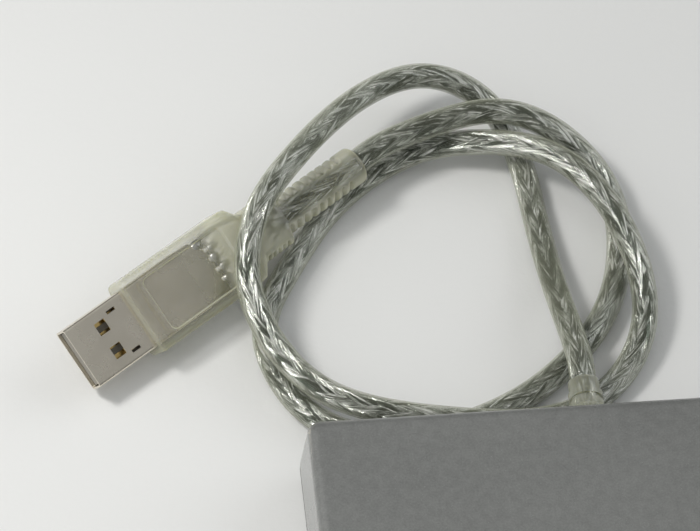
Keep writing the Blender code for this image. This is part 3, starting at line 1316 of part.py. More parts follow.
for s in ARC_SHARES[::-1]:
    drawn = BLOCK_END_ROUND / 2 * (1 - math.sin(math.pi / 2 * s))
    plug_rings.append(
        plug_ring(BLOCK_HALF_W - drawn, BLOCK_HALF_T - drawn, BLOCK_ROUND, BLOCK_END - BLOCK_END_ROUND / 2 * (1 - math.cos(math.pi / 2 * s)))
    )
plug_overmold = node("plug_overmold", loft(plug_rings), "clear_pvc", place=AT_PLUG)
cut(
    plug_overmold,
    [
        loft(
            [
                plug_ring(SHELL_HALF_W + FIT, SHELL_HALF_T + FIT, SHELL_ROUND + FIT, y)
                for y in (BLOCK_END - SHELL_IN - POCKET_SPARE, BLOCK_END + OVERRUN)
            ]
        )
    ],
    place=AT_PLUG,
)

# Metal shell: a thin folded tube with two windows in each wide face
SHELL_Y0 = BLOCK_END - SHELL_IN
plug_shell = node(
    "plug_shell", loft([plug_ring(SHELL_HALF_W, SHELL_HALF_T, SHELL_ROUND, y) for y in (SHELL_Y0, plug_length)]), "nickel", place=AT_PLUG
)
cut(
    plug_shell,
    [
        loft(
            [
                plug_ring(SHELL_HALF_W - SHELL_WALL, SHELL_HALF_T - SHELL_WALL, SHELL_ROUND - SHELL_WALL / 2, y)
                for y in (SHELL_Y0 - OVERRUN, plug_length + OVERRUN)
            ]
        )
    ],
    place=AT_PLUG,
)
WINDOW_Y = plug_length - WINDOW_FROM_TIP
cut(
    plug_shell,
    [
        box(side * WINDOW_X - WINDOW_W / 2, side * WINDOW_X + WINDOW_W / 2, WINDOW_Y - WINDOW_L / 2, WINDOW_Y + WINDOW_L / 2, -BLOCK_HALF_T, BLOCK_HALF_T)
        for side in (-1, 1)
    ]
    + [
        box(
            side * SLIT_X - SLIT_W / 2, side * SLIT_X + SLIT_W / 2, WINDOW_Y - SLIT_BEHIND - SLIT_L / 2,
            WINDOW_Y - SLIT_BEHIND + SLIT_L / 2, -BLOCK_HALF_T, BLOCK_HALF_T,
        )
        for side in (-1, 1)
    ],
    place=AT_PLUG,
)

# Insulating tongue in the lower half of the shell, with four contact strips on it
TONGUE_Z0 = -SHELL_HALF_T + SHELL_WALL + FIT / 2
TONGUE_Z1 = TONGUE_Z0 + TONGUE_T
TONGUE_Y1 = plug_length - TONGUE_SHORT
TONGUE_Y0 = SHELL_Y0 + FIT
BASE_TOP = SHELL_HALF_T - SHELL_WALL - FIT / 2
tongue_side = [
    (TONGUE_Y0, TONGUE_Z0), (TONGUE_Y1, TONGUE_Z0), (TONGUE_Y1, TONGUE_Z1), (TONGUE_Y0 + TONGUE_BASE_L, TONGUE_Z1),
    (TONGUE_Y0 + TONGUE_BASE_L, BASE_TOP), (TONGUE_Y0, BASE_TOP),
]
node("plug_tongue", prism(tongue_side, "x", -TONGUE_HALF_W, TONGUE_HALF_W), "white_plastic", place=AT_PLUG)
for k in range(4):
    x = (k - 1.5) * CONTACT_PITCH
    node(
        f"plug_contact_{k + 1}",
        box(
            x - CONTACT_W / 2, x + CONTACT_W / 2, TONGUE_Y0 + TONGUE_BASE_L + CONTACT_GAP, TONGUE_Y1 - CONTACT_SHORT,
            TONGUE_Z1 + CONTACT_GAP, TONGUE_Z1 + CONTACT_GAP + CONTACT_T,
        ),
        "gold",
        place=AT_PLUG,
    )
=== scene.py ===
# %% [markdown]
# # An external floppy disk drive on its clear, braided cable
# The drive is a flat grey box. A cable leaves its rear wall, runs in loose loops beside it and ends in a plug
# with a clear overmould. The solids of the case, the mechanism and the plug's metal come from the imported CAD
# frame. This lesson lights them, gives each its finish, and builds the soft pieces that solids show badly: the
# cable's clear jacket, the wire braid in it, and the overmould with its ribs.

# %% Load the fixed frame
import math

import bpy
import numpy as np
from mathutils import Matrix, Vector


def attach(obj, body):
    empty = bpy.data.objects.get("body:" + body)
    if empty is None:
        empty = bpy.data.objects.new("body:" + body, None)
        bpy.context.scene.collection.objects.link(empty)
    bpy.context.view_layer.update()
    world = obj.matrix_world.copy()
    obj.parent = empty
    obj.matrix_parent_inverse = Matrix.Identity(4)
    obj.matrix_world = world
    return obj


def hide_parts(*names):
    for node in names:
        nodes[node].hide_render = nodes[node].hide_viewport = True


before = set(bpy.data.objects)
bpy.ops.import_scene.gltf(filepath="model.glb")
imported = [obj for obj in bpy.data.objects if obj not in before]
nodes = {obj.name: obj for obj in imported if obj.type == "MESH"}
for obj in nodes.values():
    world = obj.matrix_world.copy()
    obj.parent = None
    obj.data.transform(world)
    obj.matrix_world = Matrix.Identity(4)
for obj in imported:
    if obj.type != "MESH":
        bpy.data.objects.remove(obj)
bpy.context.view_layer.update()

MM = 0.001
scene = bpy.context.scene
scene.view_settings.view_transform = "Standard"

# %% [markdown]
# The camera looks down on the rear left corner of the drive from about 0.76 m. A long lens keeps the lines
# nearly parallel, as a phone held high does, and a few degrees of roll turn the drive's rear edge as it lies
# in the picture. The three axes are worked out from the angles, which is exact and needs no tracking.

# %% Camera
SENSOR = 36.0
FOCAL_IN_PICTURE_WIDTHS = 4500 / 700
CAMERA_AT = Vector((-0.11723, -0.33824, 0.67998))
AZIMUTH, ELEVATION, ROLL = (math.radians(angle) for angle in (-10.0, 56.0, 4.83))

ahead = Vector((
    -math.sin(AZIMUTH) * math.cos(ELEVATION),
    math.cos(AZIMUTH) * math.cos(ELEVATION),
    -math.sin(ELEVATION),
))
level = Vector((math.cos(AZIMUTH), math.sin(AZIMUTH), 0.0))
above = level.cross(ahead)
side_axis = math.cos(ROLL) * level + math.sin(ROLL) * above
up_axis = -math.sin(ROLL) * level + math.cos(ROLL) * above
camera = bpy.data.objects.new("camera", bpy.data.cameras.new("camera"))
camera.data.sensor_width = SENSOR
camera.data.lens = FOCAL_IN_PICTURE_WIDTHS * SENSOR
camera.matrix_world = Matrix.Translation(CAMERA_AT) @ Matrix((side_axis, up_axis, -ahead)).transposed().to_4x4()
scene.collection.objects.link(camera)
scene.camera = camera
print("lens", round(camera.data.lens, 1), "mm")

# %% [markdown]
# Shader maths reads best as a formula. Wire wraps one output socket: plus, minus, times, divide and power add
# the Math node for you, on either side of a number. Everything else goes through node(), which sets a node's
# settings first, because they can change its sockets, and then fills the sockets with numbers or links.


# %% Sums on sockets
class Wire:
    """An output socket that can stand in a sum."""

    def __init__(self, tree, socket=None):
        self.tree, self.socket = tree, socket

    def node(self, kind, settings=None, inputs=None, out=0):
        made = self.tree.nodes.new("ShaderNode" + kind)
        for key, value in (settings or {}).items():
            setattr(made, key, value)
        for key, value in (inputs or {}).items():
            if isinstance(value, Wire):
                self.tree.links.new(value.socket, made.inputs[key])
            else:
                made.inputs[key].default_value = value
        return Wire(self.tree, made.outputs[out] if len(made.outputs) else None)

    def math(self, operation, *rest, clamp=False):
        inputs = {place: value for place, value in enumerate((self, *rest))}
        return self.node("Math", {"operation": operation, "use_clamp": clamp}, inputs)

    def __add__(self, other):
        return self.math("ADD", other)

    __radd__ = __add__

    def __mul__(self, other):
        return self.math("MULTIPLY", other)

    __rmul__ = __mul__

    def __sub__(self, other):
        return self.math("SUBTRACT", other)

    def __rsub__(self, other):
        return self.node("Math", {"operation": "SUBTRACT"}, {0: other, 1: self})

    def __truediv__(self, other):
        return self.math("DIVIDE", other)

    def __rtruediv__(self, other):
        return self.node("Math", {"operation": "DIVIDE"}, {0: other, 1: self})

    def __pow__(self, other):
        return self.math("POWER", other)

    def __rpow__(self, other):
        return self.node("Math", {"operation": "POWER"}, {0: other, 1: self})

    def fraction(self):
        return self.math("FRACT")

    def floor(self):
        return self.math("FLOOR")

    def clamped(self):
        return self.math("ADD", 0.0, clamp=True)

    def between(self, low, high):
        """0 below low, 1 above high and a soft step in between."""
        settings = {"interpolation_type": "SMOOTHSTEP"}
        return self.node("MapRange", settings, {"Value": self, "From Min": low, "From Max": high})

    def mixed(self, first, second):
        """first where this is 0, second where it is 1; both are colours."""
        first, second = (end if isinstance(end, Wire) else (*end, 1.0) for end in (first, second))
        return self.node("Mix", {"data_type": "RGBA"}, {0: self, 6: first, 7: second}, out=2)


def finish(name):
    """A new material with an empty tree: the material, and a bare Wire to grow nodes from."""
    material = bpy.data.materials.new(name)
    material.use_nodes = True
    material.node_tree.nodes.clear()
    return material, Wire(material.node_tree)


BEVEL_SAMPLES = 6


def close(material, start, sockets, bump=None, bump_depth=0.0, rounding=0.0):
    """Ends a tree in one Principled shader. bump times bump_depth is a height in metres, and rounding softens edges."""
    if bump is not None:
        relief = {"Height": bump, "Distance": bump_depth, "Strength": 1.0}
        if rounding:
            relief["Normal"] = start.node("Bevel", {"samples": BEVEL_SAMPLES}, {"Radius": rounding})
        sockets["Normal"] = start.node("Bump", {}, relief)
    shader = start.node("BsdfPrincipled", {}, sockets)
    start.node("OutputMaterial", {}, {"Surface": shader})
    return material


print("sums on sockets ready")

# %% [markdown]
# The table is a plain pale sheet, lit from the left by one soft lamp of 14 cm, high up. Its light spreads in a
# cone, so the table grows darker toward the right. The lamp gives about half of the light, which keeps shadows
# pale with a soft edge. The other half comes from the room, which is bright on the lamp's side, dim on the far
# side and has one bright window in the east: shiny wire and plated steel need light and dark things to mirror,
# or they look like grey paint. The room stays pale near the horizon, where low views see it.

# %% Table, lamp and room
TABLE_HALF = 3.0
LAMP_TOWARD = Vector((-0.42, 0.12, 0.90)).normalized()
LAMP_DISTANCE = 0.55
LAMP_SIZE = 0.14
LAMP_WATTS = 0.44
LAMP_OVER = Vector((-0.12, 0.08, 0.0))
LAMP_SPREAD = math.radians(95.0)
WINDOW_TOWARD = Vector((0.80, 0.28, 0.50)).normalized()
LAMP_COLOUR = (1.0, 0.985, 0.96)
TABLE_COLOUR = (0.80, 0.803, 0.794)
CLOUDED_TABLE = tuple(0.975 * part for part in TABLE_COLOUR)
ROOM_WEST, ROOM_EAST, ROOM_DARK = (1.02, 1.03, 1.02), (0.40, 0.405, 0.40), (0.09, 0.095, 0.09)
WINDOW_LIGHT = (2.0, 2.05, 2.1)
ROOM_STRENGTH = 0.71

table_mesh = bpy.data.meshes.new("table")
corners = [(x * TABLE_HALF, y * TABLE_HALF, 0.0) for x, y in ((-1, -1), (1, -1), (1, 1), (-1, 1))]
table_mesh.from_pydata(corners, [], [(0, 1, 2, 3)])
table = bpy.data.objects.new("table", table_mesh)
scene.collection.objects.link(table)

material, start = finish("table_paper")
place = start.node("TexCoord", out=3)
cloudy = start.node("TexNoise", {}, {"Vector": place, "Scale": 9.0, "Detail": 3.0})
grain = start.node("TexNoise", {}, {"Vector": place, "Scale": 900.0, "Detail": 2.0})
paper = cloudy.between(0.3, 0.7).mixed(TABLE_COLOUR, CLOUDED_TABLE)
table_mesh.materials.append(close(material, start, {"Base Color": paper, "Roughness": 0.7}, grain, 0.00004))

lamp = bpy.data.objects.new("lamp", bpy.data.lights.new("lamp", "AREA"))
lamp.data.shape = "DISK"
lamp.data.size = LAMP_SIZE
lamp.data.energy = LAMP_WATTS
lamp.data.spread = LAMP_SPREAD
lamp.data.color = LAMP_COLOUR
lamp.location = LAMP_TOWARD * LAMP_DISTANCE + LAMP_OVER
lamp.rotation_mode = "QUATERNION"
lamp.rotation_quaternion = LAMP_TOWARD.to_track_quat("Z", "Y")
scene.collection.objects.link(lamp)

world = bpy.data.worlds.new("room")
world.use_nodes = True
world.node_tree.nodes.clear()
scene.world = world
sky = Wire(world.node_tree)
toward = sky.node("TexCoord", out=0)
parts = sky.node("SeparateXYZ", {}, {0: toward})
east, north, height = (Wire(sky.tree, parts.socket.node.outputs[axis]) for axis in ("X", "Y", "Z"))
dim = east.between(-0.6, 0.75)
dark = east.between(0.6, 0.95).math("MAXIMUM", north.between(0.4, 0.85)) * height.between(0.06, 0.28)
room = dark.mixed(dim.mixed(ROOM_WEST, ROOM_EAST), ROOM_DARK)
pane = sky.node("VectorMath", {"operation": "DOT_PRODUCT"}, {0: toward, 1: tuple(WINDOW_TOWARD)}, out=1)
room = pane.between(0.87, 0.95).mixed(room, WINDOW_LIGHT)
glow = sky.node("Background", {}, {"Color": room, "Strength": ROOM_STRENGTH})
sky.node("OutputWorld", {}, {"Surface": glow})
print("lamp", LAMP_WATTS, "W, at", [round(part, 2) for part in lamp.location])

# %% [markdown]
# The cable is one fixed length of limp cord, so its route is a single smooth curve: out of the rear wall,
# round in two loops that lie on the table and pass over each other, and into the plug. The points repeat the
# CAD route. A natural cubic spline gives a curve with no kinks, and even steps along it make a clean tube.

# %% Cable route
CORD_R = 0.00235
ON_TABLE = CORD_R + 0.00005
CORD_ROUTE = [
    (0.0, 0.0796, 0.0094), (0.0, 0.0848, 0.0093), (-0.0012, 0.097, 0.0068), (-0.0022, 0.1095, 0.0038),
    (-0.003, 0.1215, 0.0025), (-0.0043, 0.1335, 0.0026), (-0.0095, 0.1445, 0.0056), (-0.02, 0.1485, 0.009),
    (-0.031, 0.144, 0.0116), (-0.04, 0.1355, 0.0144), (-0.0475, 0.126, 0.017), (-0.0545, 0.116, 0.0166),
    (-0.0575, 0.1045, 0.0128), (-0.0545, 0.0935, 0.009), (-0.047, 0.0835, 0.0073), (-0.0365, 0.0775, 0.0076),
    (-0.0245, 0.0745, 0.0078), (-0.012, 0.0745, 0.0054), (-0.0005, 0.078, 0.0027), (0.009, 0.0855, 0.0026),
    (0.014, 0.0965, 0.0046), (0.013, 0.1085, 0.0076), (0.0085, 0.12, 0.0091), (0.0005, 0.1295, 0.009),
    (-0.0105, 0.1345, 0.0066), (-0.0225, 0.1355, 0.0038), (-0.034, 0.13, 0.0025), (-0.0425, 0.1215, 0.0025),
    (-0.0495, 0.111, 0.0025), (-0.0545, 0.1, 0.0025), (-0.0525, 0.0875, 0.0025), (-0.045, 0.078, 0.0025),
    (-0.0335, 0.0745, 0.0025), (-0.021, 0.0765, 0.0025), (-0.0095, 0.0815, 0.0025), (0.0, 0.089, 0.0025),
    (0.0075, 0.099, 0.0025), (0.0115, 0.111, 0.0026), (0.0112, 0.123, 0.0042), (0.0045, 0.1333, 0.0074),
    (-0.0065, 0.1385, 0.0102), (-0.019, 0.1372, 0.0101), (-0.0305, 0.133, 0.0094), (-0.0351, 0.1297, 0.0093),
]


FINE_STEPS = 40


def smooth_through(points, count, free=False):
    """Even steps along a natural cubic spline through the points, and its length.

    Unless free, the curve stays above the table.
    """
    knots = np.array(points, float)
    steps = np.concatenate([[0.0], np.cumsum(np.sqrt(np.linalg.norm(np.diff(knots, axis=0), axis=1)))])
    gaps, size = np.diff(steps), len(knots)
    matrix, right = np.eye(size), np.zeros((size, 3))
    for i in range(1, size - 1):
        matrix[i, i - 1 : i + 2] = gaps[i - 1], 2 * (gaps[i - 1] + gaps[i]), gaps[i]
        right[i] = 6 * ((knots[i + 1] - knots[i]) / gaps[i] - (knots[i] - knots[i - 1]) / gaps[i - 1])
    bend = np.linalg.solve(matrix, right)
    fine = np.linspace(0.0, steps[-1], FINE_STEPS * size)
    cell = np.clip(np.searchsorted(steps, fine, side="right") - 1, 0, size - 2)
    gap = gaps[cell][:, None]
    a = (steps[cell + 1] - fine)[:, None] / gap
    b = 1 - a
    path = a * knots[cell] + b * knots[cell + 1]
    path = path + ((a**3 - a) * bend[cell] + (b**3 - b) * bend[cell + 1]) * gap**2 / 6
    if not free:
        path[:, 2] = np.maximum(path[:, 2], ON_TABLE)
    run = np.concatenate([[0.0], np.cumsum(np.linalg.norm(np.diff(path, axis=0), axis=1))])
    marks = np.linspace(0.0, run[-1], count)
    return np.stack([np.interp(marks, run, path[:, k]) for k in range(3)], axis=1), run[-1]


STATION_STEP = 0.0005
_, CORD_LENGTH = smooth_through(CORD_ROUTE, 2)
cord_path, CORD_LENGTH = smooth_through(CORD_ROUTE, int(CORD_LENGTH / STATION_STEP))
print("cable", round(CORD_LENGTH / MM, 1), "mm long")

# %% [markdown]
# The jacket and the braid under it are both tubes along the route. Each ring of points stands square to the
# cable, in a frame that is carried along without twist, so that nothing pinches or spins at the bends. A curve
# with a round bevel would be shorter to write, but a mesh gives each point a place on a map, which the braid needs.


# %% Tubes along a path
NEARLY_UP = (0.02, 0.01, 1.0)


def carried_frames(path):
    """Two unit vectors across the path at each point, turned as little as possible from one to the next."""
    tangent = np.gradient(path, axis=0)
    tangent /= np.linalg.norm(tangent, axis=1)[:, None]
    across = np.zeros_like(path)
    across[0] = np.cross(tangent[0], NEARLY_UP)
    across[0] /= np.linalg.norm(across[0])
    for i in range(1, len(path)):
        flat = across[i - 1] - tangent[i] * across[i - 1].dot(tangent[i])
        across[i] = flat / np.linalg.norm(flat)
    return across, np.cross(tangent, across)


def tube(name, rings, run=None):
    """A closed tube through rings of points. Its UV map holds the distance in metres and the turn if run is given."""
    count, round_count = rings.shape[:2]
    i, j = np.meshgrid(np.arange(count - 1), np.arange(round_count), indexing="ij")
    i, j = i.ravel(), j.ravel()
    k = (j + 1) % round_count
    near, far = i * round_count, (i + 1) * round_count
    sides = np.stack([near + j, near + k, far + k, far + j], axis=1)
    last = (count - 1) * round_count
    ends = [tuple(range(round_count))[::-1], tuple(last + m for m in range(round_count))]
    mesh = bpy.data.meshes.new(name)
    mesh.from_pydata(rings.reshape(-1, 3).tolist(), [], sides.tolist() + ends)
    mesh.shade_smooth()
    if run is not None:
        uv = np.zeros((len(mesh.loops), 2), np.float32)
        for place, (along, around) in enumerate([(0, 0), (0, 1), (1, 1), (1, 0)]):
            uv[place : 4 * len(sides) : 4] = np.stack([run[i + along], (j + around) / round_count], axis=1)
        mesh.uv_layers.new(name="run_and_turn").data.foreach_set("uv", uv.ravel())
    piece = bpy.data.objects.new(name, mesh)
    scene.collection.objects.link(piece)
    return piece


def rings_round(path, radius, round_count):
    """Rings of points at a radius, one number or one for each point of each ring, round a path."""
    across, upward = carried_frames(path)
    angle = 2 * np.pi * np.arange(round_count) / round_count
    spoke = np.cos(angle)[None, :, None] * across[:, None, :] + np.sin(angle)[None, :, None] * upward[:, None, :]
    return path[:, None, :] + spoke * np.broadcast_to(radius, spoke.shape[:2])[..., None]


JACKET_ROUND = 40
jacket_path = cord_path[::2]
jacket_run = np.linspace(0.0, CORD_LENGTH, len(jacket_path))
jacket = tube("cable_jacket", rings_round(jacket_path, CORD_R, JACKET_ROUND), jacket_run)
print("jacket", len(jacket.data.polygons), "faces")

# %% [markdown]
# Under the jacket lies the braid: eight flat bundles of fine wire go round one way and eight the other way,
# over and under in turn. Modelling each wire would take a million faces. Instead a tube follows the cable, and
# each of its points is lifted by the bundle that lies on top there. Frames carried along without twist keep
# the bundles' angle even round the bends.


# %% Braid under the jacket
BRAID_R = 0.86 * CORD_R
CARRIERS = 8
BRAID_PITCH = 0.052
BUNDLE_CROWN = 0.0002
CROWN_POWER = 2.4
BUNDLE_LIFT = 0.0001
BRAID_ROUND = 56


def bundle_heights(turn, run):
    """Height of the two sets of bundles at a turn and a distance along the cable."""
    one = (turn - run / BRAID_PITCH) * CARRIERS
    two = (turn + run / BRAID_PITCH) * CARRIERS
    weave = BUNDLE_LIFT * np.cos(np.pi * (np.floor(one) + np.floor(two)) / 2 + np.pi / 4)
    crown = [BUNDLE_CROWN * (1 - np.abs(2 * (phase % 1.0) - 1) ** CROWN_POWER) for phase in (one, two)]
    return crown[0] + weave, crown[1] - weave


def braid_tube(name, path, run, swell=1.0):
    """A tube of braid round a path; run is the distance at each of its points."""
    turn = np.arange(BRAID_ROUND) / BRAID_ROUND
    run_grid, turn_grid = np.meshgrid(run, turn, indexing="ij")
    core = (BRAID_R - BUNDLE_CROWN) * np.asarray(swell).reshape(-1, 1)
    radius = core + np.maximum(*bundle_heights(turn_grid, run_grid))
    return tube(name, rings_round(path, radius, BRAID_ROUND), run)


BRAID_STEP = 0.0004
GLAND_SQUEEZE = 0.94
CORD_EXIT = CORD_ROUTE[0]
run = np.linspace(0.0, CORD_LENGTH, len(cord_path))
braid = braid_tube("cable_braid", cord_path, run)
gland_run = np.arange(-0.0081, -0.0002, BRAID_STEP)
gland_path = np.array([(CORD_EXIT[0], CORD_EXIT[1] + step, CORD_EXIT[2]) for step in gland_run])
gland_braid = braid_tube("gland_braid", gland_path, gland_run, GLAND_SQUEEZE)
print("braid", len(braid.data.polygons), "faces, pitch", BRAID_PITCH / MM, "mm")

# %% [markdown]
# The plug lies a little rolled on the cable. Its own frame has x across the wide face, y toward the tip and z
# out of the wide face that looks up, worked out from the same two end points and roll as the CAD plug.

# %% The plug's own frame
PLUG_END = Vector((-0.0353, 0.1295, 0.00925))
PLUG_TIP = Vector((-0.0886, 0.0922, 0.00695))
PLUG_ROLL = math.radians(30.0)
plug_ahead = (PLUG_TIP - PLUG_END).normalized()
plug_level = plug_ahead.cross(Vector((0, 0, 1))).normalized()
plug_upward = plug_level.cross(plug_ahead)
plug_wide = plug_level * math.cos(PLUG_ROLL) + plug_upward * math.sin(PLUG_ROLL)
plug_normal = plug_wide.cross(plug_ahead)
AT_PLUG = Matrix.Translation(PLUG_END) @ Matrix((plug_wide, plug_ahead, plug_normal)).transposed().to_4x4()
print("plug", round((PLUG_TIP - PLUG_END).length / MM, 1), "mm from relief to tip")

# %% [markdown]
# The overmould is one soft, clear casting. It is lofted from rounded sections along the plug: a round relief
# with ribs on its two narrow sides and a smooth spine between them, a neck with a comb of fine teeth, and a
# flat block with a shallow panel on each wide face. Every section has the same number of points, spaced evenly
# round it, so ribs and panel are only offsets of those points.

# %% Overmould
SECTION_POINTS = 152
OVERMOLD_STEP = 0.00022
# distance, half width, half height and corner radius, all in mm as is the rest of the plug's own frame
OVERMOLD_KEYS = [
    (0.0, 3.1, 3.1, 3.05), (0.35, 3.5, 3.5, 3.4), (0.8, 3.6, 3.6, 3.5), (18.6, 3.65, 3.65, 3.5),
    (19.4, 5.1, 3.85, 2.2), (26.0, 5.25, 3.9, 2.0), (27.8, 7.35, 4.05, 1.4), (29.0, 7.5, 4.1, 1.3),
    (51.4, 7.5, 4.1, 1.3), (51.9, 7.3, 3.9, 1.25), (52.1, 7.0, 3.6, 1.1),
]
RIB_FIRST, RIB_LAST, RIB_PITCH, RIB_DEPTH = 2.6, 18.7, 1.8, 0.95
COMB_FIRST, COMB_LAST, COMB_PITCH, COMB_DEPTH = 19.8, 25.6, 1.15, 0.75
RIDGE_FIRST, RIDGE_LAST, RIDGE_PITCH, RIDGE_DEPTH = 40.5, 49.5, 0.9, 0.32
# the panel's start, end, half width, corner radius and depth
PANEL = (30.6, 48.4, 5.35, 1.2, 0.5)
CORNER_STEPS = 25


def soft_step(value, low, high):
    t = np.clip((value - low) / (high - low), 0.0, 1.0)
    return t * t * (3 - 2 * t)


def rounded_outline(half_w, half_h, corner, count):
    """Evenly spaced points round a rounded rectangle, from its +x side, and the outward direction at each."""
    corner = min(corner, half_w, half_h) - 1e-6
    side_middle, straight_out = (half_w, 0.0), (1.0, 0.0)
    dense, outward = [side_middle], [straight_out]
    for quarter, (cx, cz) in enumerate([(1, 1), (-1, 1), (-1, -1), (1, -1)]):
        for t in np.linspace(0, math.pi / 2, CORNER_STEPS):
            a = quarter * math.pi / 2 + t
            out_x, out_z = math.cos(a), math.sin(a)
            dense.append((cx * (half_w - corner) + corner * out_x, cz * (half_h - corner) + corner * out_z))
            outward.append((out_x, out_z))
    dense, outward = np.array([*dense, side_middle]), np.array([*outward, straight_out])
    walked = np.concatenate([[0.0], np.cumsum(np.linalg.norm(np.diff(dense, axis=0), axis=1))])
    marks = np.linspace(0.0, walked[-1], count, endpoint=False)
    points = np.stack([np.interp(marks, walked, dense[:, k]) for k in range(2)], axis=1)
    facing = np.stack([np.interp(marks, walked, outward[:, k]) for k in range(2)], axis=1)
    return points, facing / np.linalg.norm(facing, axis=1)[:, None]


def toothed(along, first, last, pitch):
    """1 in the grooves and 0 on the teeth of a comb between first and last."""
    phase = ((along - first) / pitch) % 1.0
    groove = soft_step(phase, 0.42, 0.56) * (1 - soft_step(phase, 0.86, 1.0))
    return groove if first <= along <= last else 0.0


def overmold_section(along):
    """One ring of the overmould, along mm from its cable end, in the plug's frame in mm."""
    keys = np.array(OVERMOLD_KEYS)
    half_w, half_h, corner = (np.interp(along, keys[:, 0], keys[:, k]) for k in (1, 2, 3))
    points, facing = rounded_outline(half_w, half_h, corner, SECTION_POINTS)
    side = soft_step(np.abs(facing[:, 0]), 0.5, 0.72)
    depth = RIB_DEPTH * toothed(along, RIB_FIRST, RIB_LAST, RIB_PITCH) * side
    depth = depth + COMB_DEPTH * toothed(along, COMB_FIRST, COMB_LAST, COMB_PITCH) * side
    low_side = soft_step(facing[:, 0], 0.5, 0.9)
    depth = depth + RIDGE_DEPTH * toothed(along, RIDGE_FIRST, RIDGE_LAST, RIDGE_PITCH) * low_side
    panel_first, panel_last, panel_half, panel_corner, panel_depth = PANEL
    middle, half_l = (panel_first + panel_last) / 2, (panel_last - panel_first) / 2
    across = np.abs(points[:, 0]) - (panel_half - panel_corner)
    lengthwise = np.full(len(points), abs(along - middle) - (half_l - panel_corner))
    reach = np.stack([across, lengthwise], axis=1)
    outside = np.linalg.norm(np.maximum(reach, 0), axis=1) + np.minimum(reach.max(axis=1), 0) - panel_corner
    depth = depth + panel_depth * (1 - soft_step(outside, -0.12, 0.14)) * (np.abs(facing[:, 1]) > 0.9)
    return points - facing * depth[:, None]


cable_end, tip_end = np.linspace(0, 0.8, 7)[:-1], np.linspace(51.4, 52.1, 9)
stations = np.concatenate([cable_end, np.arange(0.8, 51.3, OVERMOLD_STEP / MM), tip_end])
rings = np.array([[(x, along, z) for x, z in overmold_section(along)] for along in stations]) * MM
overmold = tube("plug_overmold_clear", rings)
overmold.matrix_world = AT_PLUG
print("overmould", len(stations), "sections of", SECTION_POINTS, "points")

# %% [markdown]
# Inside the clear casting the braid runs on to the neck and fans out there. Four thin wires go on through a
# milky inner block to the back of the metal shell, whose rear part has one corner cut off. They show through
# as pale and silvery shapes, so each is plain but real: short tubes, lumps of solder, one block and one sleeve.


# %% Braid end, wires and solder inside the overmould
WIRE_STATIONS, WIRE_ROUND = 40, 12
LUMP_ROWS, LUMP_COLUMNS, LUMP_WOBBLE = 12, 18, 0.035


def in_plug(piece):
    piece.matrix_world = AT_PLUG
    return piece


def wire_piece(name, points, radius):
    """A round wire along plug-frame points in mm."""
    path, _ = smooth_through(np.array(points) * MM, WIRE_STATIONS, free=True)
    return in_plug(tube(name, rings_round(path, radius * MM, WIRE_ROUND)))


def lump(name, centre, size, seed):
    """A small rounded lump of solder, uneven but the same every time."""
    wobble = np.random.default_rng(seed).normal(0, LUMP_WOBBLE, (LUMP_ROWS, LUMP_COLUMNS))
    polar = (np.pi * (np.arange(LUMP_ROWS) + 0.5) / LUMP_ROWS)[:, None]
    angle = (2 * np.pi * np.arange(LUMP_COLUMNS) / LUMP_COLUMNS)[None, :]
    reach = 1 + wobble * np.sin(polar)
    x = centre[0] + size[0] * reach * np.sin(polar) * np.cos(angle)
    y = centre[1] - size[1] * np.cos(polar) + 0 * angle
    z = centre[2] - size[2] * reach * np.sin(polar) * np.sin(angle)
    return in_plug(tube(name, np.stack([x, y, z], axis=2) * MM))


BLOCK_EDGE = math.radians(32.0)
BLOCK_POINTS = 64


def block(name, stations):
    """A lofted block through (distance, half width, half height, corner, shift across) stations in mm."""
    rings = []
    for along, half_w, half_h, corner, shift in stations:
        points, _ = rounded_outline(half_w, half_h, corner, BLOCK_POINTS)
        rings.append([(x + shift, along, z) for x, z in points])
    piece = in_plug(tube(name, np.array(rings) * MM))
    piece.data.set_sharp_from_angle(angle=BLOCK_EDGE)
    return piece


def core_wire(number, x):
    """One thin wire, counted from 0: out of the braid, over the block and to the back of the shell at x."""
    points = [
        (0.4 * x, 17.5, 0.2), (0.55 * x, 21.0, 1.4 - 0.5 * number), (0.95 * x + 0.5, 25.0, 2.6 - 0.3 * number),
        (1.15 * x, 29.0, 2.3), (1.0 * x, 32.0, 2.35), (x, 34.8, 2.1),
    ]
    return wire_piece(f"plug_wire_{number + 1}", points, 0.42)


def wire_solder(number, x):
    """The lump of solder on that wire's end. Neighbours differ in place and size."""
    size = (0.62 + 0.2 * (number % 3), 1.1 + 0.3 * (number % 2), 0.6)
    return lump(f"plug_solder_{number + 1}", (x, 33.7 - 0.9 * (number % 2), 2.3), size, number)


WIRE_X = (-3.0, -1.0, 1.2, 3.1)
FLARE, FLARE_FROM, FLARE_TO = 0.35, 0.0165, 0.0215
end_run = np.arange(0.0002, FLARE_TO, BRAID_STEP)
end_path = np.array([(0.0, step, 0.0) for step in end_run])
end_swell = 1 + FLARE * soft_step(end_run, FLARE_FROM, FLARE_TO)
braid_end = in_plug(braid_tube("plug_braid_end", end_path, CORD_LENGTH + end_run, end_swell))
inner_block = block("plug_inner_block", [
    (22.6, 2.2, 1.6, 0.7, 0), (23.0, 3.4, 2.2, 0.8, 0), (27.0, 4.6, 2.95, 1.2, 0),
    (31.2, 5.3, 2.95, 1.2, 0), (33.2, 4.6, 2.2, 0.9, 0),
])
shell_rear = block("plug_shell_rear", [
    (34.4, 4.55, 2.22, 0.3, -1.35), (36.6, 5.9, 2.22, 0.5, 0), (40.0, 5.9, 2.22, 0.5, 0),
])
core_wires = [core_wire(number, x) for number, x in enumerate(WIRE_X)]
solder = [wire_solder(number, x) for number, x in enumerate(WIRE_X)]
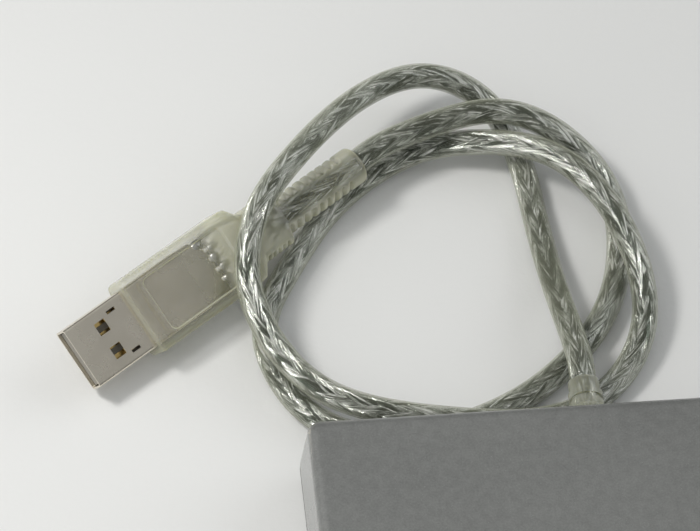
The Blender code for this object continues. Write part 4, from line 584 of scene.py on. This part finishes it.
drain = wire_piece("plug_drain_wire", [
    (1.0, 17.0, 1.6), (2.6, 20.0, 2.2), (4.3, 25.0, 1.9), (5.5, 30.0, 1.5), (5.3, 34.0, 1.2), (4.9, 37.2, 0.8),
], 0.4)
drain_blob = lump("plug_drain_solder", (4.6, 35.3, 1.6), (1.1, 1.5, 0.8), 9)
print(len(core_wires), "wires and", len(solder) + 1, "solder lumps")

# %% [markdown]
# Everything on the cable goes with the case: the jacket, the braid, the overmould, the wires and the plug's
# metal are attached to its body, and the frame's own cord and overmould are hidden.

metal_bits = [*solder, drain, drain_blob]
on_cord = [braid, braid_end, overmold, inner_block, shell_rear, *core_wires, *metal_bits]
for piece in (jacket, gland_braid, *on_cord):
    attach(piece, "case")
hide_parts("usb_cord")
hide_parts("plug_overmold")

# %% [markdown]
# Clear soft vinyl is see-through face on and milky at its rims, where the eye looks along the wall. Layer
# Weight gives that angle, and it goes to Alpha. Thick places are milky too: a mask worked out in the plug's own
# frame clouds the relief, the neck and the narrow sides, and leaves the vinyl clear over the shell. The same
# mask adds painted highlights, pale and more opaque, on the ridges, round the panel's rim and at the front edge,
# where clear plastic would flash by refraction.
# Refraction would be truer, but it needs many more light paths and doesn't survive a bake to plain images. The
# tint is a faint yellow green.


# %% Clear vinyl
# Added opacity, paleness and palest colour of the milky places and of the painted highlights.
MILK_AND_HIGHLIGHT_ALPHA, PALER_MILK_AND_HIGHLIGHT, PALEST_MILK_AND_HIGHLIGHT = 0.36, 1.45, 0.82
RIM_POWER = 1.5
DRAWN_SCALE = (0.35, 0.09, 1.0)
GLOW_COLOUR, GLOW_DEPTH = (1.0, 0.95, 0.65), 0.004


def clear_vinyl(name, tint, clearest, milkiest, roughness, dimple, milk=None, drawn=False, glow=0.0):
    """A see-through finish. clearest and milkiest are its opacity face on and at a rim.

    milk makes a 0 to 1 mask from the place on the piece, which clouds thick vinyl and adds pale painted highlights,
    a drawn vinyl has fine lines along its UV run, and glow is the share of light that spreads inside.
    """
    material, start = finish(name)
    place = start.node("TexCoord", out=3)
    rim = start.node("LayerWeight", {}, {"Blend": 0.5}, out=1)
    if drawn:
        run_and_turn = start.node("UVMap", {"uv_map": "run_and_turn"})
        place = start.node("Mapping", {}, {"Vector": run_and_turn, "Scale": DRAWN_SCALE})
    haze = start.node("TexNoise", {}, {"Vector": place, "Scale": 260.0, "Detail": 3.0})
    cloud = haze.between(0.35, 0.75)
    colour = cloud.mixed(tint, tuple(0.8 * part for part in tint))
    alpha = (rim**RIM_POWER) * (milkiest - clearest) + clearest + cloud * 0.07
    if milk is not None:
        # The milk mask clouds thick vinyl and also paints pale highlights into the colour.
        milk_and_highlight = milk(start, place)
        alpha = alpha + milk_and_highlight * MILK_AND_HIGHLIGHT_ALPHA
        colour = milk_and_highlight.mixed(colour, tuple(min(PALEST_MILK_AND_HIGHLIGHT, PALER_MILK_AND_HIGHLIGHT * part) for part in tint))
    skin = start.node("TexNoise", {}, {"Vector": place, "Scale": 380.0, "Detail": 2.0})
    sockets = {"Base Color": colour, "Roughness": roughness, "Alpha": alpha.clamped()}
    sockets.update({"IOR": 1.5, "Specular IOR Level": 1.0})
    if glow:
        sockets.update({"Subsurface Weight": glow, "Subsurface Radius": GLOW_COLOUR, "Subsurface Scale": GLOW_DEPTH})
    return close(material, start, sockets, skin, dimple)


def milk_and_painted_highlights_in_overmold(start, place):
    """Cloudy in the relief, the neck and the narrow sides, painted highlights on the ridges, round the panel's rim and
    at the front, clear over the shell.
    """
    parts = start.node("SeparateXYZ", {}, {0: place})
    wide, along = (Wire(start.tree, parts.socket.node.outputs[axis]) / MM for axis in ("X", "Y"))
    far_out = wide.math("ABSOLUTE")
    side = far_out.between(5.6, 6.8) * 0.6
    neck = along.between(17.0, 22.0) * (1 - along.between(31.5, 36.5))
    panel_first, panel_last, panel_half, panel_corner, _ = PANEL
    middle, half_l = (panel_first + panel_last) / 2, (panel_last - panel_first) / 2
    out_wide = far_out - (panel_half - panel_corner)
    out_along = (along - middle).math("ABSOLUTE") - (half_l - panel_corner)
    corner = ((out_wide.math("MAXIMUM", 0.0) ** 2.0) + (out_along.math("MAXIMUM", 0.0) ** 2.0)) ** 0.5
    away = corner + out_wide.math("MAXIMUM", out_along).math("MINIMUM", 0.0) - panel_corner
    # Painted highlights: a pale line round the panel's rim, pale ridges and a pale front edge, where clear plastic
    # would flash.
    rim = 1 - (away - 0.02).math("ABSOLUTE").between(0.04, 0.26)
    phase = ((along - RIDGE_FIRST) / RIDGE_PITCH).fraction()
    teeth = (1 - (phase - 0.28).math("ABSOLUTE").between(0.12, 0.3)) * along.between(RIDGE_FIRST - 0.1, RIDGE_FIRST)
    ridge = teeth * (1 - along.between(RIDGE_LAST, RIDGE_LAST + 0.1)) * wide.between(6.6, 7.0) * 0.7
    # Painted highlight along the front edge.
    front = along.between(51.3, 51.8) * 0.35
    relief = (1 - along.between(18.0, 20.0)) * (far_out.between(0.9, 2.9) * 0.62 + 0.22)
    milk_and_highlight = side
    for mask in (relief, neck, rim, ridge, front):
        milk_and_highlight = milk_and_highlight.math("MAXIMUM", mask)
    return milk_and_highlight


JACKET_TINT, OVERMOLD_TINT, GLAND_TINT = (0.53, 0.55, 0.41), (0.43, 0.43, 0.325), (0.48, 0.49, 0.38)
VINYL_DIMPLE = 0.00005
jacket_vinyl = clear_vinyl("jacket_vinyl", JACKET_TINT, 0.08, 0.78, 0.06, VINYL_DIMPLE, drawn=True)
OVERMOLD_GLOW = 0.6
overmold_vinyl = clear_vinyl(
    "overmold_vinyl", OVERMOLD_TINT, 0.13, 0.74, 0.12, VINYL_DIMPLE, milk_and_painted_highlights_in_overmold, glow=OVERMOLD_GLOW
)
jacket.data.materials.append(jacket_vinyl)
overmold.data.materials.append(overmold_vinyl)
print("clear vinyl on the jacket and the overmould")


# %% [markdown]
# The braid's finish repeats the geometry's own formula on the UV map, where u is the distance in metres and v
# the turn, so that the fine wires run along their bundles. Each wire has its own tone. Light is painted on top:
# streaks a few wires wide are painted highlights and patches between them are painted nearly black, as a bundle
# of mirror wires would catch either the lamp or the dark room. A few white glints with less metal are painted
# highlights, and the gaps between the wires are painted shade. A photograph of braid on the tube would be flat,
# and could not follow the bends.


# %% Wire braid
WIRES_IN_BUNDLE = 7
WIRE_GREY, WIRE_SILVER = (0.26, 0.275, 0.24), (0.95, 0.97, 0.92)
# The dark colour is a painted reflection of the dark room, the gap colour is painted shade between the wires and the
# glint colour is a painted highlight.
WIRE_DARK_REFLECTION, WIRE_GAP_SHADE, WIRE_PAINTED_GLINT = (0.045, 0.058, 0.048), (0.06, 0.068, 0.055), (1.0, 1.0, 0.97)
WIRE_RELIEF = 0.00017


def wire_braid(name):
    material, start = finish(name)
    place = start.node("UVMap", {"uv_map": "run_and_turn"})
    parts = start.node("SeparateXYZ", {}, {0: place})
    run, turn = (Wire(start.tree, parts.socket.node.outputs[axis]) for axis in ("X", "Y"))
    lay = run / BRAID_PITCH
    one, two = (turn - lay) * CARRIERS, (turn + lay) * CARRIERS
    weave = ((one.floor() + two.floor()) * (math.pi / 2) + math.pi / 4).math("COSINE")
    weave = weave * (BUNDLE_LIFT / BUNDLE_CROWN)
    crowns = [1 - (((phase.fraction() * 2 - 1).math("ABSOLUTE")) ** CROWN_POWER) for phase in (one, two)]
    first_on_top = (crowns[0] + weave).math("GREATER_THAN", crowns[1] - weave)
    phase = two + (one - two) * first_on_top
    strand = phase * WIRES_IN_BUNDLE
    wire = 1 - (((strand.fraction() * 2 - 1).math("ABSOLUTE")) ** 2.0)
    set_id = first_on_top * 7.0
    tone_at = start.node("CombineXYZ", {}, {"X": strand.floor() * 1.37, "Y": run * 90.0, "Z": set_id})
    tone = start.node("TexNoise", {}, {"Vector": tone_at, "Scale": 1.0, "Detail": 3.0, "Roughness": 0.65})
    # Painted light: streak places the bright highlight streaks, and patch places the near-black reflections of the dark
    # room.
    streak_at = start.node("CombineXYZ", {}, {"X": phase * 3.3, "Y": run * 210.0, "Z": set_id + 3.0})
    streak = start.node("TexNoise", {}, {"Vector": streak_at, "Scale": 1.0, "Detail": 2.0, "Roughness": 0.5})
    patch_at = start.node("CombineXYZ", {}, {"X": phase * 1.3, "Y": run * 140.0, "Z": set_id + 11.0})
    patch = start.node("TexNoise", {}, {"Vector": patch_at, "Scale": 1.0, "Detail": 3.0, "Roughness": 0.6})
    room_place = start.node("TexCoord", out=3)
    region = start.node("TexNoise", {}, {"Vector": room_place, "Scale": 110.0, "Detail": 2.0})
    crown = crowns[0].math("MAXIMUM", crowns[1])
    # Painted highlights: white glints with less metal, so that they shine under any light.
    painted_glint = (streak * (crown * 0.35 + 0.75) * (wire * 0.2 + 0.85) - (region - 0.5) * 0.3).between(0.60, 0.74)
    # Painted reflection of the dark room: near-black patches.
    dark = (patch + (region - 0.5) * 0.5 + (0.5 - streak) * 0.5).between(0.47, 0.62)
    # Each wire's own tone, brightened where the painted highlight streaks run.
    bright = (tone * 0.6 + streak * 0.4).between(0.36, 0.62).mixed(WIRE_GREY, WIRE_SILVER)
    colour = dark.mixed(bright, WIRE_DARK_REFLECTION)
    # Painted shade in the gaps between the wires.
    colour = (1 - wire).between(0.55, 1.0).mixed(colour, WIRE_GAP_SHADE)
    colour = painted_glint.mixed(colour, WIRE_PAINTED_GLINT)
    roughness = tone.between(0.35, 0.7) * 0.10 + 0.13
    metallic = 0.96 - painted_glint * 0.42
    sockets = {"Base Color": colour, "Metallic": metallic, "Roughness": roughness}
    return close(material, start, sockets, wire * 0.6 + patch * 1.5, WIRE_RELIEF)


wire_braid_finish = wire_braid("wire_braid")
for piece in (braid, braid_end, gland_braid):
    piece.data.materials.append(wire_braid_finish)
print(CARRIERS, "bundles of", WIRES_IN_BUNDLE, "wires each way")

# %% [markdown]
# The hard finishes come from a few recipes. Moulded plastic has a satin grain, an uneven polish and a few rubbed
# places. Metal is either plated, with soft stains, or sheet with a direction. A recipe takes the few numbers
# that differ, so that parts of one finish agree.


# %% Moulded plastic
COAT_ROUGHNESS = 0.2


def moulded(name, colour, roughness, grain_size, grain_depth, mottle=0.12, speck=0.0, rounding=0.0, coat=0.0):
    """Satin plastic. mottle is how far its tone varies and speck how strong its pale flakes are."""
    material, start = finish(name)
    place = start.node("TexCoord", out=3)
    grain = start.node("TexNoise", {}, {"Vector": place, "Scale": 1 / grain_size, "Detail": 3.0, "Roughness": 0.6})
    broad = start.node("TexNoise", {}, {"Vector": place, "Scale": 28.0, "Detail": 4.0})
    rub = start.node("TexNoise", {}, {"Vector": place, "Scale": 9.0, "Detail": 5.0, "Roughness": 0.7})
    darker, paler = tuple((1 - mottle) * part for part in colour), tuple((1 + mottle) * part for part in colour)
    blotch = start.node("TexNoise", {}, {"Vector": place, "Scale": 0.22 / grain_size, "Detail": 2.0})
    shade = broad.between(0.3, 0.7) * 0.35 + blotch.between(0.3, 0.7) * 0.25 + grain.between(0.3, 0.7) * 0.4
    tint = shade.mixed(darker, paler)
    if speck:
        flake = start.node("TexVoronoi", {}, {"Vector": place, "Scale": 0.7 / grain_size}, out=0)
        flake_colour = tuple(min(1.0, 2.2 * part) for part in colour)
        tint = ((1 - flake.between(0.06, 0.18)) * speck).mixed(tint, flake_colour)
    polish = rub.between(0.35, 0.75) * 0.12 + (roughness - 0.06)
    sockets = {"Base Color": tint, "Roughness": polish, "Coat Weight": coat, "Coat Roughness": COAT_ROUGHNESS}
    return close(material, start, sockets, grain, grain_depth, rounding)


print("plastic recipe ready")


# %% Metal
def metal(name, colour, roughness, stretch=(1, 1, 1), stain=0.15, scratch=0.00001):
    """Plated or sheet metal. stretch pulls its fine lines out, and stain is how much darker its clouds are."""
    material, start = finish(name)
    place = start.node("TexCoord", out=3)
    pulled = start.node("Mapping", {}, {"Vector": place, "Scale": stretch})
    lines = start.node("TexNoise", {}, {"Vector": pulled, "Scale": 1500.0, "Detail": 2.0})
    cloud = start.node("TexNoise", {}, {"Vector": place, "Scale": 140.0, "Detail": 4.0})
    stained = cloud.between(0.35, 0.75)
    tint = stained.mixed(colour, tuple((1 - stain) * part for part in colour))
    polish = stained * 0.12 + lines.between(0.3, 0.7) * 0.08 + (roughness - 0.1)
    return close(material, start, {"Base Color": tint, "Roughness": polish, "Metallic": 1.0}, lines, scratch)


print("metal recipe ready")


# %% [markdown]
# A circuit board is dark green lacquer over copper lines. A grid of the lacquer's own ridges, broken up by
# noise, reads as tracks at this size, with no need for geometry.


# %% Circuit board
LACQUER, LACQUER_ON_COPPER, TINNED_PAD = (0.015, 0.10, 0.045), (0.05, 0.26, 0.10), (0.55, 0.53, 0.45)
TRACK_HEIGHT = 0.00003


def circuit_board(name):
    material, start = finish(name)
    place = start.node("TexCoord", out=3)
    cell = start.node("TexVoronoi", {"distance": "CHEBYCHEV"}, {"Vector": place, "Scale": 340.0}, out=0)
    black, white = (0, 0, 0, 1), (1, 1, 1, 1)
    bricks = {"Vector": place, "Scale": 420.0, "Mortar Size": 0.09, "Mortar Smooth": 0.3}
    bricks.update({"Color1": black, "Color2": black, "Mortar": white})
    track = start.node("TexBrick", {"offset": 0.4}, bricks, out=1)
    zone = start.node("TexNoise", {}, {"Vector": place, "Scale": 160.0, "Detail": 2.0}).between(0.48, 0.56)
    copper = track * zone
    tint = copper.mixed(LACQUER, LACQUER_ON_COPPER)
    pad = (1 - cell.between(0.05, 0.09)) * (1 - zone)
    tint = pad.mixed(tint, TINNED_PAD)
    return close(material, start, {"Base Color": tint, "Roughness": 0.34}, copper + pad, TRACK_HEIGHT)


print("board recipe ready")


# %% [markdown]
# The plug's shell is plated with warm nickel. Under the vinyl it looks darker toward its rear, where less light
# gets in. The distance along the plug is a dot product with the plug's own direction, from any point of the world.


# %% Nickel of the plug
NICKEL, NICKEL_SHADED, NICKEL_WORN = (0.80, 0.745, 0.64), (0.66, 0.63, 0.53), (0.62, 0.58, 0.50)
SHADE_FROM_TIP, SHADE_LENGTH = 0.0305, 0.011
SCRATCH_TURN = (0.0, 0.0, 0.62)


def plug_nickel(name, along_axis, tip_at):
    material, start = finish(name)
    place = start.node("TexCoord", out=3)
    along = start.node("VectorMath", {"operation": "DOT_PRODUCT"}, {0: place, 1: along_axis}, out=1)
    shade = 1 - (along - (tip_at - SHADE_FROM_TIP)).between(0.0, SHADE_LENGTH)
    blotch = start.node("TexNoise", {}, {"Vector": place, "Scale": 130.0, "Detail": 3.0, "Roughness": 0.55})
    pull = {"Vector": place, "Rotation": SCRATCH_TURN, "Scale": (1.0, 16.0, 16.0)}
    scratch_at = start.node("Mapping", {}, pull)
    scratch = start.node("TexNoise", {}, {"Vector": scratch_at, "Scale": 700.0, "Detail": 2.0})
    tint = shade.mixed(NICKEL, NICKEL_SHADED)
    worn = blotch.between(0.4, 0.75) * 0.5 + scratch.between(0.58, 0.75) * 0.35
    tint = worn.mixed(tint, NICKEL_WORN)
    polish = blotch.between(0.3, 0.7) * 0.12 + 0.2
    return close(material, start, {"Base Color": tint, "Metallic": 1.0, "Roughness": polish}, scratch, 0.00001)


print("nickel recipe ready")

# %% [markdown]
# Each solid of the frame comes with the name of its finish, so one table dresses them all. The case has a coat
# over its grey paint, which mirrors the table where the eye looks along its left wall, and its edges are softened
# in the light alone. The plug's shell gets a finish of its own, and its white plastic tongue is painted mid grey,
# a painted shade as if the shell kept the light off it.

# %% Finishes for the frame's own solids
# The tongue's colour is painted shade: its white plastic painted a warm mid grey.
CASE_GREY, TONGUE_PAINTED_SHADE = (0.163, 0.167, 0.161), (0.30, 0.285, 0.25)
CASE_ROUNDING = 0.0022
FINISHES = {
    "case": moulded("case_plastic", CASE_GREY, 0.30, 0.0004, 0.00004, 0.24, 0.3, CASE_ROUNDING, 1.0),
    "dark_plastic": moulded("dark_plastic", (0.035, 0.035, 0.038), 0.42, 0.0005, 0.00003),
    "lens_green": moulded("lens_green", (0.10, 0.42, 0.16), 0.16, 0.0012, 0.000008, 0.2),
    "rubber": moulded("rubber", (0.03, 0.03, 0.032), 0.75, 0.0004, 0.00004),
    "steel": metal("steel", (0.60, 0.60, 0.58), 0.30, (1, 12, 12)),
    "zinc_sheet": metal("zinc_sheet", (0.66, 0.68, 0.69), 0.36, (1, 1, 1), 0.25),
    "board_green": circuit_board("board_green"),
    "chip_black": moulded("chip_black", (0.02, 0.02, 0.022), 0.5, 0.0002, 0.00002),
    "copper": metal("copper_wire", (0.72, 0.33, 0.14), 0.32, (12, 12, 1)),
    "gold": metal("gold_plate", (0.83, 0.62, 0.26), 0.25),
    "cord_silver": metal("lead_braid", (0.7, 0.71, 0.68), 0.3),
    "clear_pvc": clear_vinyl("gland_vinyl", GLAND_TINT, 0.36, 0.80, 0.14, 0.00003, glow=0.5),
    "white_plastic": moulded("white_plastic", (0.78, 0.77, 0.72), 0.4, 0.0006, 0.00002, 0.05),
    "brass": metal("brass", (0.72, 0.55, 0.26), 0.3, (1, 12, 1)),
    "nickel": metal("nickel_plate", (0.60, 0.58, 0.54), 0.27, (9, 9, 9), 0.12),
}
used = {}
for name, piece in nodes.items():
    for slot in piece.material_slots:
        plain = slot.material.name.split(".")[0]
        slot.material = FINISHES[plain]
        used[plain] = used.get(plain, 0) + 1
tip_distance = PLUG_TIP.dot(plug_ahead)
nodes["plug_shell"].material_slots[0].material = plug_nickel("plug_shell_nickel", tuple(plug_ahead), tip_distance)
# Painted shade: the white tongue gets a mid grey of its own.
tongue_in_painted_shade = moulded("tongue_in_painted_shade", TONGUE_PAINTED_SHADE, 0.45, 0.0006, 0.00002, 0.08)
nodes["plug_tongue"].material_slots[0].material = tongue_in_painted_shade
shell_rear.data.materials.append(plug_nickel("plug_rear_nickel", (0.0, 1.0, 0.0), (PLUG_TIP - PLUG_END).length))
for key, group in {"white_plastic": (*core_wires, inner_block), "steel": metal_bits}.items():
    for piece in group:
        piece.data.materials.append(FINISHES[key])
print("finishes on the frame:", used)

# %% [markdown]
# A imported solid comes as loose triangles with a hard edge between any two. Three modifiers make its round parts
# read as round without moving a point: Weld joins the points that coincide, Edge Split keeps real edges hard,
# and Weighted Normal lets the large flat faces set the light at a rounded edge.

# %% Smooth light on the solids
HARD_EDGE = math.radians(38.0)
WELD_WITHIN = 0.002 * MM
for piece in nodes.values():
    mesh = piece.data
    if "custom_normal" in mesh.attributes:
        mesh.attributes.remove(mesh.attributes["custom_normal"])
    mesh.shade_smooth()
    weld = piece.modifiers.new("weld", "WELD")
    weld.merge_threshold = WELD_WITHIN
    split = piece.modifiers.new("hard_edges", "EDGE_SPLIT")
    split.split_angle = HARD_EDGE
    normals = piece.modifiers.new("flat_faces_first", "WEIGHTED_NORMAL")
    normals.keep_sharp = True
print("smooth light on", len(nodes), "solids")
